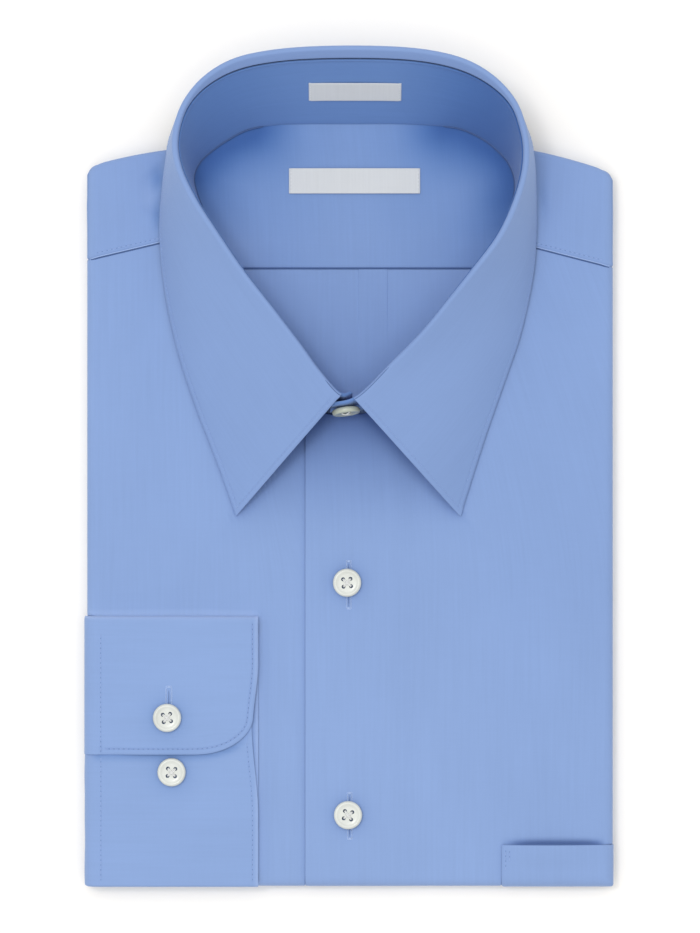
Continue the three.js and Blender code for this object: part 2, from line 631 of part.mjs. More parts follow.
const curveThrough = (points) => new THREE.CatmullRomCurve3(points, false, "centripetal");
const footOf = (row) => new THREE.Vector3(row.footX, row.footY, FOOT_LEVEL);
const topOf = (row) => new THREE.Vector3(row.topX, row.topY, row.topZ);
const edgeOf = (row) => new THREE.Vector3(row.edgeX, row.edgeY, row.edgeZ);

const BAND_ROWS = [BAND_ENDS.under, ...COLLAR_STATIONS, BAND_ENDS.over];
const bandFoot = curveThrough(BAND_ROWS.map(footOf));
const bandTop = curveThrough(BAND_ROWS.map(topOf));

// The share of the way along the band's curves at a station of the leaf
const bandShare = (t) => (1 + t * (COLLAR_STATIONS.length - 1)) / (BAND_ROWS.length - 1);

function bandGrid(shares, heights) {
  return shares.map((t) => heights.map((k) => bandFoot.getPoint(t).lerp(bandTop.getPoint(t), k).toArray()));
}

// A grid thickened from its inner face outwards, away from the middle of the neck
function outwards(grid, from, to) {
  const middle = new THREE.Vector3(0, 85, 0);
  const i = Math.floor(grid.length / 4);
  const probe = new THREE.Vector3(...grid[i][1]);
  const sign = gridNormals(grid)[i][1].dot(probe.sub(middle).setZ(0)) > 0 ? 1 : -1;
  const face = (distance) =>
    moved(grid, sign * distance).map((row) => row.map(([x, y, z]) => [x, y, Math.max(z, FOOT_LEVEL)]));
  return wallBetween(face(to), face(from));
}

function collarBand() {
  return outwards(bandGrid(range(0, 1, 52), [0, 0.33, 0.67, 0.98]), 0, COLLAR_WALL);
}

// The leaf's mid surface at a station: up from the band, over in a roll, and down to the free edge
const LEAF_ROLL = 2.1;
const LEAF_TURNS_OVER = 5; // stations from a front edge over which its fall comes square to the band
const leafEdge = curveThrough(COLLAR_STATIONS.map(edgeOf));
const leafArch = curveThrough(COLLAR_STATIONS.map((row, i) => new THREE.Vector3(row.arch, i, 0)));

function leafSection(t) {
  const foot = bandFoot.getPoint(bandShare(t));
  const top = bandTop.getPoint(bandShare(t));
  const side = bandTop.getTangent(bandShare(t)).setZ(0).normalize();
  const edge = leafEdge.getPoint(t);
  const square = new THREE.Vector3(-side.y, side.x, 0);
  const straight = edge.clone().sub(top).setZ(0).normalize();
  const fromEnd = Math.min(t, 1 - t) * (COLLAR_STATIONS.length - 1);
  const out = straight.lerp(square, smooth(fromEnd / LEAF_TURNS_OVER)).normalize();
  const rise = top.clone().sub(foot);
  const start = top.clone().addScaledVector(rise.clone().normalize(), GAP);
  start.addScaledVector(out, COLLAR_WALL / 2);
  const leave = Math.atan2(rise.z, rise.dot(out));
  const fall = edge.clone().sub(start);
  const arrive = Math.atan2(fall.z + LEAF_ROLL, Math.max(fall.dot(out) - 2 * LEAF_ROLL, -30));
  const end = arrive > 0 ? arrive - 2 * Math.PI : arrive;
  const rolled = (angle) => {
    const across = LEAF_ROLL * (Math.sin(leave) - Math.sin(angle));
    const up = LEAF_ROLL * (Math.cos(angle) - Math.cos(leave));
    return start.clone().addScaledVector(out, across).add(new THREE.Vector3(0, 0, up));
  };
  const roll = range(leave, end, 5).map(rolled);
  const last = roll[roll.length - 1];
  const chord = edge.clone().sub(last);
  const unit = chord.clone().normalize();
  const lift = new THREE.Vector3(0, 0, 1).addScaledVector(unit, -unit.z).normalize();
  const arch = leafArch.getPoint(t).x;
  const heading = new THREE.Vector3(0, 0, Math.sin(end)).addScaledVector(out, Math.cos(end));
  const near = last.clone().addScaledVector(heading, chord.length() * 0.25);
  const far = last.clone().addScaledVector(chord, 0.66).addScaledVector(lift, arch);
  const fallCurve = new THREE.CubicBezierCurve3(last, near, far, edge);
  return [...roll, ...range(1 / 6, 1, 5).map((k) => fallCurve.getPoint(k))].map((p) => p.toArray());
}

function collarLeaf() {
  const grid = range(0, 1, 50).map((t) => leafSection(t));
  return wallBetween(moved(grid, COLLAR_WALL / 2), moved(grid, -COLLAR_WALL / 2));
}

// Labels, left plain
const COLLAR_LABEL = { left: -16.7, right: 20.8, low: 0.38, high: 0.65 };
function collarLabel() {
  const bandPoint = (share, height) => bandFoot.getPoint(share).lerp(bandTop.getPoint(share), height);
  const pointAt = (x, height) => {
    let low = 0.3;
    let high = 0.7;
    for (let k = 0; k < 30; k += 1) {
      const middle = (low + high) / 2;
      if (bandPoint(middle, height).x < x) low = middle;
      else high = middle;
    }
    return bandPoint(low, height).toArray();
  };
  const heights = [COLLAR_LABEL.low, COLLAR_LABEL.high];
  const xs = range(COLLAR_LABEL.left, COLLAR_LABEL.right, 8);
  const grid = xs.map((x) => heights.map((height) => pointAt(x, height)));
  return outwards(grid, -GAP, -GAP - LABEL_WALL);
}

const NECK_LABEL = { left: -24.9, right: 28.6, low: 111.3, high: 121.6 };
function neckLabel() {
  const { left, right, low, high } = NECK_LABEL;
  const face = (z) => [left, right].map((x) => [low, high].map((y) => [x, y, z]));
  return wallBetween(face(YOKE_TOP + GAP + LABEL_WALL), face(YOKE_TOP + GAP));
}

// A button: a turned disc with a rounded rim, a dished middle and four thread holes
function button() {
  const { radius, thick, rim, dish, hole, holeFromMiddle } = BUTTON;
  const profile = [
    [0, 0],
    [radius - 0.9, 0],
    [radius - 0.25, 0.5],
    [radius, 1.2],
    [radius - 0.2, thick - 0.5],
    [radius - 0.7, thick],
    [radius - rim, thick - 0.1],
    [radius - rim - 0.8, thick - dish],
    [0, thick - dish],
  ].map(([x, y]) => new THREE.Vector2(x, y));
  const disc = new THREE.LatheGeometry(profile, 20).rotateX(Math.PI / 2);
  let solid = manifoldOf(disc);
  [45, 135, 225, 315].forEach((degrees) => {
    const angle = THREE.MathUtils.degToRad(degrees);
    const drill = new THREE.CylinderGeometry(hole, hole, 3 * thick, 8).rotateX(Math.PI / 2);
    drill.translate(holeFromMiddle * Math.cos(angle), holeFromMiddle * Math.sin(angle), 0);
    solid = solid.subtract(manifoldOf(drill));
  });
  return geometryOf(solid);
}

// Buttons on flat cloth: where they lie and what their underside rests on
const CUFF_TOP = FRONT_TOP + GAP + 3 * CUFF_WALL + 2 * GAP;
const CUFF_UNDER_TOP = FRONT_TOP + GAP + 2 * CUFF_WALL + GAP;
const BUTTONS = [
  { name: "front_button_1", x: -1.2, y: -47.3, rests: FRONT_TOP + OVERLAP_RISE },
  { name: "front_button_2", x: -0.8, y: -141.9, rests: FRONT_TOP + OVERLAP_RISE },
  { name: "cuff_button_1", x: -74.4, y: -102.2, rests: CUFF_TOP },
  { name: "cuff_button_2", x: -72.6, y: -124.4, rests: CUFF_UNDER_TOP },
];

// The collar button stands on the outer face of the band's upper end
const COLLAR_BUTTON = { stationsFromEnd: 0.59, height: 0.7 };
function collarButtonPlace() {
  const share = 1 - COLLAR_BUTTON.stationsFromEnd / (BAND_ROWS.length - 1);
  const foot = bandFoot.getPoint(share);
  const rise = bandTop.getPoint(share).sub(foot);
  const forward = bandFoot.getTangent(share).lerp(bandTop.getTangent(share), COLLAR_BUTTON.height).setZ(0);
  const normal = rise.clone().cross(forward).normalize();
  if (normal.z < 0) normal.negate();
  const seat = foot.clone().addScaledVector(rise, COLLAR_BUTTON.height);
  seat.addScaledVector(normal, COLLAR_WALL + 2 * GAP);
  return { seat, normal };
}

// Assembly
const CLOTH_BLUE = 0x92abdc;
const material = (color, roughness) => new THREE.MeshStandardMaterial({ color, roughness, metalness: 0 });
const cloth = (color = CLOTH_BLUE) => material(color, 0.85);
const labelCloth = () => material(0xcfd2d6, 0.7);
const buttonResin = () => material(0xe2e4e2, 0.25);

function piece(name, geometry, surface) {
  geometry.computeVertexNormals();
  const mesh = new THREE.Mesh(geometry, surface);
  mesh.name = name;
  return mesh;
}

const shirt = new THREE.Group();
shirt.add(
  piece("folded_layers", foldedLayers(), cloth()),
  piece("back", back(), cloth(0x7d93cb)),
  piece("yoke", yoke(), cloth()),
  piece("front_right", frontRight(), cloth()),
  piece("front_left", frontLeft(), cloth()),
  piece("pocket", pocket(), cloth()),
  piece("sleeve", sleeve(), cloth()),
  piece("cuff", cuff(), cloth()),
  piece("collar_band", collarBand(), cloth(0x6f87c4)),
  piece("collar_leaf", collarLeaf(), cloth()),
  piece("collar_label", collarLabel(), labelCloth()),
  piece("neck_label", neckLabel(), labelCloth()),
);

BUTTONS.forEach(({ name, x, y, rests }) => {
  const mesh = piece(name, button(), buttonResin());
  mesh.position.set(x, y, rests + GAP);
  shirt.add(mesh);
});

const collarButton = piece("collar_button", button(), buttonResin());
const { seat, normal } = collarButtonPlace();
collarButton.position.copy(seat);
collarButton.quaternion.setFromUnitVectors(new THREE.Vector3(0, 0, 1), normal);
shirt.add(collarButton);

export default shirt;
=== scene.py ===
"""The looks of a folded long sleeve dress shirt. Tables and shape functions are in millimetres,
in the row frame: +Z up from the surface, +Y to the collar, +X to the reader's right."""

import math

import bmesh
import bpy
import numpy as np
from mathutils import Matrix, Vector


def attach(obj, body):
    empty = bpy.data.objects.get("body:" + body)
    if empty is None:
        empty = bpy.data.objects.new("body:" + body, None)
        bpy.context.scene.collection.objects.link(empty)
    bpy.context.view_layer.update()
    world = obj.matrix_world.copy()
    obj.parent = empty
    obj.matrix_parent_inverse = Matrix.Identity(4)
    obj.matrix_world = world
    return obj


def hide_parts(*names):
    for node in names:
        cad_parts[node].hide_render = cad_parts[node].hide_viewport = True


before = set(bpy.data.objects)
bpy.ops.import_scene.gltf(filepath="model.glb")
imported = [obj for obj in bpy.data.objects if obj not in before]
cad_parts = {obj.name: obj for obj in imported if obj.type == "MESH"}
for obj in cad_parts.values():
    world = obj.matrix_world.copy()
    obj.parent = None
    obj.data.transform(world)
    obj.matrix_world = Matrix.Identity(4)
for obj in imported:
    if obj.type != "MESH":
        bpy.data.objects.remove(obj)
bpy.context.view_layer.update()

MM = 0.001

# Sizes shared with the solids
GAP = 0.3
HALF_WIDTH = 107.3
BOTTOM = -171.2
SIDE_FOLD = 4.5
HIDDEN_TOP = 9.0
PACK_LEVEL = 9.3
BACK_TOP = 10.5
YOKE_TOP = 11.0
STRIP_TOP = 13.0
FRONT_TOP = 12.5
OVERLAP_RISE = 1.5
OVERLAP_LEFT = -18.2
OVERLAP_EASE = (15.5, 14)  # the left front lies high up to here and comes down over this much
UNDERLAP_RIGHT = 13.5
TUCK_TURN = 2.88
CORNER_POWER = 12
BOTTOM_EASE = 8
INNER_X = HALF_WIDTH - SIDE_FOLD
INNER_Y = BOTTOM + SIDE_FOLD
TUCK = TUCK_TURN * SIDE_FOLD

CUFF_WALL = 1.0
CUFF_TOP_Y = -60.9
HAND_END = -37.4
OVERLAP_END = -117.2
UNDER_END = -92.0
SLEEVE_THICK = 2.3
SLEEVE_TUCK = -92.0
SQUEEZE_DEPTH = 1.6
SQUEEZE_FROM = -60.4
SQUEEZE_OVER = 1.2

POCKET_LEFT = 61.8
POCKET_TOP = -154.2
POCKET_TURN = 2.2
POCKET_GAPE = 2.0
POCKET_PRESS = 1.0
PRESS_OVER = 1.0
PRESS_START = 0.45
PRESS_SIDES = (80, 20)  # the sides' presses fade in from here, over this much
EVERYWHERE = (-1e9, 1e9)
FULLY_PRESSED = (POCKET_LEFT + 0.6, POCKET_TOP - 0.6)

# The cuff as the photograph shows it, a little away from the solid
CORNER_ACROSS, CORNER_UP = 26.5, 15.0
CORNER_X, CORNER_Y = HAND_END - CORNER_ACROSS, OVERLAP_END + CORNER_UP
SEAM_TURN = 1.3  # how far round the side fold it reaches
OVERLAP_DRAW, UNDER_DRAW = 2.2, 2.7  # how far its hand edges draw back
DRAW_EASE = 24

# Cloth as it is seen, thinner than the solids
PLY = 0.55
FACING = 1.0
YOKE_PLY = 0.8
COLLAR_PLY = 1.1
POCKET_PLY = 0.6
SEAM_SINK = 0.75  # how far a cloth goes down under the yoke's seam
FOLD_SQUARE = 0.78  # how flat the folds stay before they turn
OVER, UNDER = 1, -1  # which of the two fronts


def smooth(t):
    t = np.clip(t, 0, 1)
    return t * t * (3 - 2 * t)


def mix(a, b, t):
    return a + (b - a) * t


def bell(away, wide):
    """A soft bump, 1 high in its middle."""
    return np.exp(-((away / wide) ** 2))


def along(table, x):
    return np.interp(x, [row[0] for row in table], [row[1] for row in table])


def spaced(start, end, step):
    return np.linspace(start, end, max(int(round(abs(end - start) / step)), 1) + 1)


def joined(*parts):
    """One rising or falling list of stations from several, with close doubles left out."""
    values = np.concatenate([np.atleast_1d(part) for part in parts])
    keep = [0]
    for i in range(1, len(values)):
        if abs(values[i] - values[keep[-1]]) > 1e-6:
            keep.append(i)
    return values[keep]


def stepped(start, *runs):
    """Stations from a start through several runs, each with its step and its end."""
    parts = []
    for step, end in runs:
        parts.append(spaced(start, end, step))
        start = end
    return joined(*parts)


def points_at(x, y, z):
    return np.stack(np.broadcast_arrays(x, y, z), -1)


# Meshes from grids of points


def grid_normals(grid):
    normal = np.cross(np.gradient(grid, axis=0), np.gradient(grid, axis=1))
    return normal / np.maximum(np.linalg.norm(normal, axis=2, keepdims=True), 1e-9)


def moved(grid, distance):
    distance = np.broadcast_to(distance, grid.shape[:2])
    return grid + grid_normals(grid) * distance[:, :, None]


def lengths_along(grid, axis):
    steps = np.linalg.norm(np.diff(grid, axis=axis), axis=2)
    total = np.cumsum(steps, axis=axis)
    return np.concatenate([np.zeros_like(np.take(total, [0], axis)), total], axis)


def wall_between(outer, inner, closed=False):
    """Vertices, quads and cloth coordinates of a wall between two grids of the same size."""
    rows, columns = outer.shape[:2]
    points = np.concatenate([outer.reshape(-1, 3), inner.reshape(-1, 3)])
    last = rows if closed else rows - 1

    def quads(*corners):
        at = [side * rows * columns + (a % rows) * columns + b for a, b, side in corners]
        return np.stack([index.ravel() for index in at], 1)

    i, j = np.meshgrid(np.arange(last), np.arange(columns - 1), indexing="ij")
    faces = [
        quads((i, j, 0), (i, j + 1, 0), (i + 1, j + 1, 0), (i + 1, j, 0)),
        quads((i, j, 1), (i + 1, j, 1), (i + 1, j + 1, 1), (i, j + 1, 1)),
    ]
    k = np.arange(last)
    for b, near, far in ((0, 1, 0), (columns - 1, 0, 1)):
        faces.append(quads((k, b, near), (k, b, far), (k + 1, b, far), (k + 1, b, near)))
    if not closed:
        k = np.arange(columns - 1)
        for a, near, far in ((0, 0, 1), (rows - 1, 1, 0)):
            faces.append(quads((a, k, near), (a, k, far), (a, k + 1, far), (a, k + 1, near)))
    coordinates = np.stack([lengths_along(outer, 0), lengths_along(outer, 1)], 2).reshape(-1, 2)
    return points, facing_out(points, np.concatenate(faces)), np.concatenate([coordinates] * 2)


def facing_out(points, faces):
    a, b, c, d = (points[faces[:, n]] for n in range(4))
    volume = np.einsum("ij,ij->", a, np.cross(b, c)) + np.einsum("ij,ij->", a, np.cross(c, d))
    return faces if volume >= 0 else faces[:, ::-1]


def several(parts):
    """One set of vertices, faces and coordinates from several."""
    starts = np.cumsum([0] + [len(points) for points, _, _ in parts[:-1]])
    faces = [part[1] + start for part, start in zip(parts, starts)]
    return np.concatenate([p[0] for p in parts]), np.concatenate(faces), np.concatenate([p[2] for p in parts])


def new_mesh(name, points, faces, material):
    mesh = bpy.data.meshes.new(name)
    mesh.from_pydata((np.asarray(points) * MM).tolist(), [], faces, shade_flat=False)
    mesh.materials.append(material)
    return mesh


def new_object(name, data):
    thing = bpy.data.objects.new(name, data)
    bpy.context.scene.collection.objects.link(thing)
    return thing


def settled(name, mesh, nodes=()):
    """An object of the part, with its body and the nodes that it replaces."""
    thing = new_object(name, mesh)
    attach(thing, "root")
    if nodes:
        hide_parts(*nodes)
    return thing


def set_coordinates(mesh, coordinates):
    """The cloth's own coordinates, given for each vertex in millimetres and kept in metres."""
    layer = mesh.uv_layers.new(name="cloth")
    corner = np.zeros(len(mesh.loops), dtype=np.int32)
    mesh.loops.foreach_get("vertex_index", corner)
    layer.data.foreach_set("uv", (coordinates[corner] * MM).astype(np.float32).ravel())


def apply_modifiers(thing):
    graph = bpy.context.evaluated_depsgraph_get()
    made = bpy.data.meshes.new_from_object(thing.evaluated_get(graph), depsgraph=graph)
    thing.modifiers.clear()
    old = thing.data
    thing.data = made
    bpy.data.meshes.remove(old)
    made.name = thing.name


def piece(node, shape, material, edge, ending="_cloth"):
    """A wall of cloth in the place of one of the solids' nodes, its edges rounded."""
    name = node + ending
    points, faces, coordinates = shape
    mesh = new_mesh(name, points, faces.tolist(), material)
    set_coordinates(mesh, coordinates)
    thing = settled(name, mesh, [node])
    bevel = thing.modifiers.new("edge", "BEVEL")
    bevel.width = edge * MM
    bevel.segments = 2
    bevel.limit_method = "ANGLE"
    bevel.angle_limit = math.radians(60)
    bevel.use_clamp_overlap = True
    apply_modifiers(thing)
    return thing


SHADE_DEPTH = 0.4  # what a painted shade of 1 takes from the red
SHADE_LIMITS = (-1.2, 2.0)


def shaded(thing, shade_at):
    """Stores the painted shade at each point of a piece as the power that its material raises deep to."""
    mesh = thing.data
    spots = np.zeros(len(mesh.vertices) * 3, dtype=np.float32)
    mesh.vertices.foreach_get("co", spots)
    shade = np.clip(shade_at(*(spots.reshape(-1, 3).T / MM)), *SHADE_LIMITS)
    power = np.log(1 - SHADE_DEPTH * np.broadcast_to(shade, len(mesh.vertices))) / math.log(1 - SHADE_DEPTH)
    layer = mesh.attributes.new("painted_shade_power", "FLOAT", "POINT")
    layer.data.foreach_set("value", power.astype(np.float32))


# Soft relief of the pressed cloth: creases listed one by one, each with its middle, its direction in
# degrees from +X, its length, its width and its height. A trough's height is negative.
FRONT_CREASES = [
    (62, 35, 98, 150, 11, 0.16),
    (84, -40, 84, 130, 9, -0.13),
    (40, -95, 93, 120, 12, 0.12),
    (71, -118, 78, 70, 7, 0.1),
    (24, -20, 88, 110, 8, -0.1),
    (-42, -15, 86, 120, 10, 0.14),
    (-74, 20, 95, 110, 9, -0.12),
    (-88, -10, 82, 80, 7, 0.1),
    (-28, -110, 91, 100, 7, -0.1),
]
BACK_CREASES = [
    (-28, 50, 84, 60, 7, 0.2),
    (36, 58, 100, 40, 6, -0.16),
    (-8, 40, 93, 50, 5, -0.15),
]
YOKE_CREASES = [
    (-40, 100, 60, 40, 6, 0.15),
    (44, 96, 118, 34, 6, 0.16),
    (8, 92, 8, 60, 4, 0.12),
]
STRIP_CREASES = [
    (-92, 108, 12, 40, 6, 0.16),
    (90, 106, -14, 36, 6, 0.15),
    (-80, 119, 40, 13, 1.5, -0.5),
    (-77, 113, 68, 15, 1.3, 0.35),
    (-79.5, 104, -18, 11, 1.2, -0.45),
    (-79, 99.5, 22, 10, 1.0, 0.3),
    (78.5, 107, 105, 14, 1.6, -0.3),
]


def creased(x, y, creases):
    total = np.zeros(np.broadcast(x, y).shape)
    for middle_x, middle_y, turn, long, wide, high in creases:
        angle = math.radians(turn)
        dx, dy = x - middle_x, y - middle_y
        forward = dx * math.cos(angle) + dy * math.sin(angle)
        aside = dy * math.cos(angle) - dx * math.sin(angle) + 0.06 * wide * np.sin(forward / 9.0)
        total += high * smooth(1.4 - 2.2 * np.abs(forward) / long) * bell(aside, wide)
    return total


# Outlines of the flat pack
NECKLINE = [
    (-58.2, 96.0), (-48.0, 76.5), (-38.2, 59.8), (-30.0, 44.6), (-20.2, 29.5), (-10.8, 21.9),
    (-8.0, 21.1), (5.5, 21.4), (24.4, 32.6), (37.7, 49.5), (48.0, 65.0), (55.3, 77.7), (63.9, 92.6),
]
NECK_REACH = 64
STRIP_NECK = {
    -1: [(92.6, -56.2), (96.0, -58.2), (108.0, -63.8), (117.0, -66.0), (131.0, -66.6)],
    1: [(92.6, 63.9), (96.0, 64.6), (108.0, 68.3), (117.0, 69.9), (131.0, 70.2)],
}
BACK_NECK = [
    (-72.0, 127.0), (-66.0, 127.8), (-58.0, 131.6), (-51.5, 136.1), (-43.5, 140.2), (-31.0, 142.3),
    (0.0, 142.8), (34.0, 142.2), (46.5, 141.2), (56.5, 135.9), (63.0, 130.6), (68.5, 127.6), (73.0, 127.0),
]
BACK_NECK_REACH = 73
SHOULDER_START = 74
SHOULDER_CURVE = 0.0024
BACK_SEAM = 80.9


def shoulder_fold(x):
    height = np.where(x < 0, 129.2, 129.0)
    slope = np.where(x < 0, 0.13, 0.2)
    beyond = np.maximum(np.minimum(np.abs(x), HALF_WIDTH) - SHOULDER_START, 0)
    return height - slope * beyond - SHOULDER_CURVE * beyond * beyond


def front_seam(x):
    """The yoke's edge at x, measured along the cloth: seen from above it runs straight to the side."""
    round_side = np.clip((np.abs(x) - INNER_X) / SIDE_FOLD, 0, math.pi / 2)
    held = np.sign(x) * (np.minimum(np.abs(x), INNER_X) + SIDE_FOLD * np.sin(round_side) ** FOLD_SQUARE)
    return np.where(x < 0, 91.46 + 0.237 * (held + 78.2), 89.4 - 0.258 * (held - 76.6))


def side_pressed(side, y):
    sleeve = SQUEEZE_DEPTH * smooth((SQUEEZE_FROM - y) / SQUEEZE_OVER)
    pocket = POCKET_PRESS * smooth((POCKET_TOP + PRESS_START - y) / PRESS_OVER)
    return np.where(side < 0, sleeve, pocket)


def bottom_pressed(x):
    return POCKET_PRESS * smooth((x - POCKET_LEFT + PRESS_START) / PRESS_OVER)


def squarer(value):
    return np.sign(value) * np.abs(value) ** FOLD_SQUARE


def front_point(u, v, depth, share, layer, pressed=EVERYWHERE):
    """A point of a front, u and v measured along the cloth, depth under its outer face."""
    u, v = np.broadcast_arrays(u, v)
    side = np.where(u < 0, -1.0, 1.0)
    a = np.maximum(np.abs(u) - INNER_X, 0) / SIDE_FOLD
    b = np.maximum(INNER_Y - v, 0) / SIDE_FOLD
    turn = np.maximum(a, b)
    spread = (a**CORNER_POWER + b**CORNER_POWER) ** (1 / CORNER_POWER)
    spread = np.where(spread > 0, spread, 1)
    apart = OVERLAP_RISE / 2 * share
    radius = SIDE_FOLD + layer * apart - depth
    outward = radius * squarer(np.sin(turn))
    press = side_pressed(side, np.minimum(v, pressed[1]))
    press = press * smooth((np.abs(u) - PRESS_SIDES[0]) / PRESS_SIDES[1])
    lift = apart + bottom_pressed(np.maximum(u, pressed[0]))
    near_bottom = 1 - smooth((v - INNER_Y) / BOTTOM_EASE)
    x = side * (np.clip(np.abs(u), 0, INNER_X) - press + outward * a / spread)
    y = np.maximum(v, INNER_Y) + lift * near_bottom - outward * b / spread
    return points_at(x, y, FRONT_TOP - SIDE_FOLD + apart + radius * squarer(np.cos(turn)))


def over_share(u):
    return 1 - smooth((u - OVERLAP_EASE[0]) / OVERLAP_EASE[1])


def under_share(u):
    return smooth((u - OVERLAP_LEFT + 0.4) / 0.8)


# Where the buttons sit, the level they rest on, and how far each is turned in degrees
OVERLAP_TOP = FRONT_TOP + OVERLAP_RISE
BUTTONS = [
    {"name": "front_button_1", "x": -1.2, "y": -47.3, "rests": OVERLAP_TOP, "turn": 4},
    {"name": "front_button_2", "x": -0.8, "y": -141.9, "rests": OVERLAP_TOP, "turn": -9},
    {"name": "cuff_button_1", "x": -74.4, "y": -102.2, "rests": FRONT_TOP + 3.9, "turn": 7},
    {"name": "cuff_button_2", "x": -72.6, "y": -124.4, "rests": FRONT_TOP + 2.6, "turn": -3},
]
DRAWN_WIDE = 9.0  # how far round a sewn button the cloth is drawn down
# how far round a button its painted shade reaches
SHADE_WIDE = 7.5


def round_buttons(x, y, buttons, wide):
    """Soft bumps round the middles of buttons."""
    return sum(bell(np.hypot(x - row["x"], y - row["y"]), wide) for row in buttons)


def mouth_dip(u, v):
    """The front sinks a little just above the pocket's mouth, which stands off it."""
    inside = smooth((u - POCKET_LEFT - 3) / 12) * smooth((INNER_X + 1 - u) / 8)
    return 1.2 * inside * bell(v - POCKET_TOP + 0.2, 1.9)


def front_panel(us, share_at, layer):
    u = us[:, None]
    neck = np.where(np.abs(us) > NECK_REACH, 1e9, along(NECKLINE, us))
    top = np.minimum(front_seam(us) + 2.0, neck)
    low = stepped(
        INNER_Y - TUCK, (0.9, INNER_Y), (1.2, POCKET_TOP - 1), (0.4, POCKET_TOP + 4), (2.2, SQUEEZE_FROM - 2),
        (0.3, SQUEEZE_FROM),
    )
    parts = joined(np.linspace(0, 0.9, 52), np.linspace(0.9, 1, 18))
    upper = mix(SQUEEZE_FROM, top[:, None], parts[None, 1:])
    v = np.concatenate([np.broadcast_to(low, (len(us), len(low))), upper], 1)
    relief = creased(u, v, FRONT_CREASES) - SEAM_SINK * smooth(v - front_seam(u) + 0.6)
    ply = PLY
    if layer == OVER:
        relief -= 0.1 * (1 - smooth((u - OVERLAP_LEFT) / 1.6)) + mouth_dip(u, v)
        relief -= 0.22 * round_buttons(u, v, BUTTONS[:2], DRAWN_WIDE)
        ply = mix(PLY, FACING, 1 - smooth((u - 10) / 8))
    faces = [front_point(u, v, depth - relief, share_at(u), layer) for depth in (0, ply)]
    return wall_between(*faces)


def front_right():
    us = stepped(
        -INNER_X - TUCK, (0.9, -INNER_X), (2.0, -30), (1.1, OVERLAP_LEFT - 1), (0.15, OVERLAP_LEFT + 0.2),
        (1.1, UNDERLAP_RIGHT),
    )
    return front_panel(us, under_share, UNDER)


def front_left():
    us = stepped(
        OVERLAP_LEFT, (0.25, OVERLAP_LEFT + 2), (1.2, 30), (2.0, 60), (0.2, 62.4), (2.0, INNER_X),
        (0.9, INNER_X + TUCK),
    )
    return front_panel(us, over_share, OVER)


def pocket_gape(u, v):
    across = np.clip((u - POCKET_LEFT) / (INNER_X - POCKET_LEFT), 0, 1)
    return POCKET_GAPE * np.sin(math.pi * across) * smooth((v - INNER_Y) / (POCKET_TOP - INNER_Y))


def pocket():
    reach = POCKET_TURN * SIDE_FOLD
    u = stepped(POCKET_LEFT, (0.4, POCKET_LEFT + 5), (1.5, INNER_X), (0.7, INNER_X + reach))[:, None]
    v = stepped(INNER_Y - reach, (0.7, INNER_Y), (0.8, POCKET_TOP - 2), (0.25, POCKET_TOP))[None, :]
    edge = 0.4 * (1 - smooth(u - POCKET_LEFT))
    height = GAP + 1.0 - POCKET_PLY + pocket_gape(u, v) - edge
    faces = [front_point(u, v, -height - ply, 0.0, OVER, FULLY_PRESSED) for ply in (POCKET_PLY, 0)]
    return wall_between(*faces)


PLEAT = (3.3, 15.5)


def back():
    edge = INNER_X - 4
    xs = stepped(-edge, (6, -50), (1.5, 3), (0.12, 4.2), (1.0, 14.6), (0.12, 15.8), (1.5, 60), (6, edge))
    ys = stepped(INNER_Y + 4, (8, 0), (1.5, BACK_SEAM - 2), (0.4, BACK_SEAM + 2))
    x, y = xs[:, None], ys[None, :]
    inside = smooth((x - PLEAT[0]) / 0.5) * smooth((PLEAT[1] - x) / 0.5)
    relief = creased(x, y, BACK_CREASES) + 0.22 * inside * smooth((y - 40) / 30)
    relief = relief - SEAM_SINK * smooth(y - BACK_SEAM + 0.6) - 0.35 * smooth((20 - y) / 20)
    outer = points_at(x, y, BACK_TOP + relief)
    return wall_between(outer, outer - [0, 0, PLY])


YOKE_FOLD = (STRIP_TOP - PACK_LEVEL) / 2
# The shoulder's corner, rounded down toward the side
CORNER_FROM, CORNER_OVER, CORNER_DROP = 99.2, 8.2, 3.4


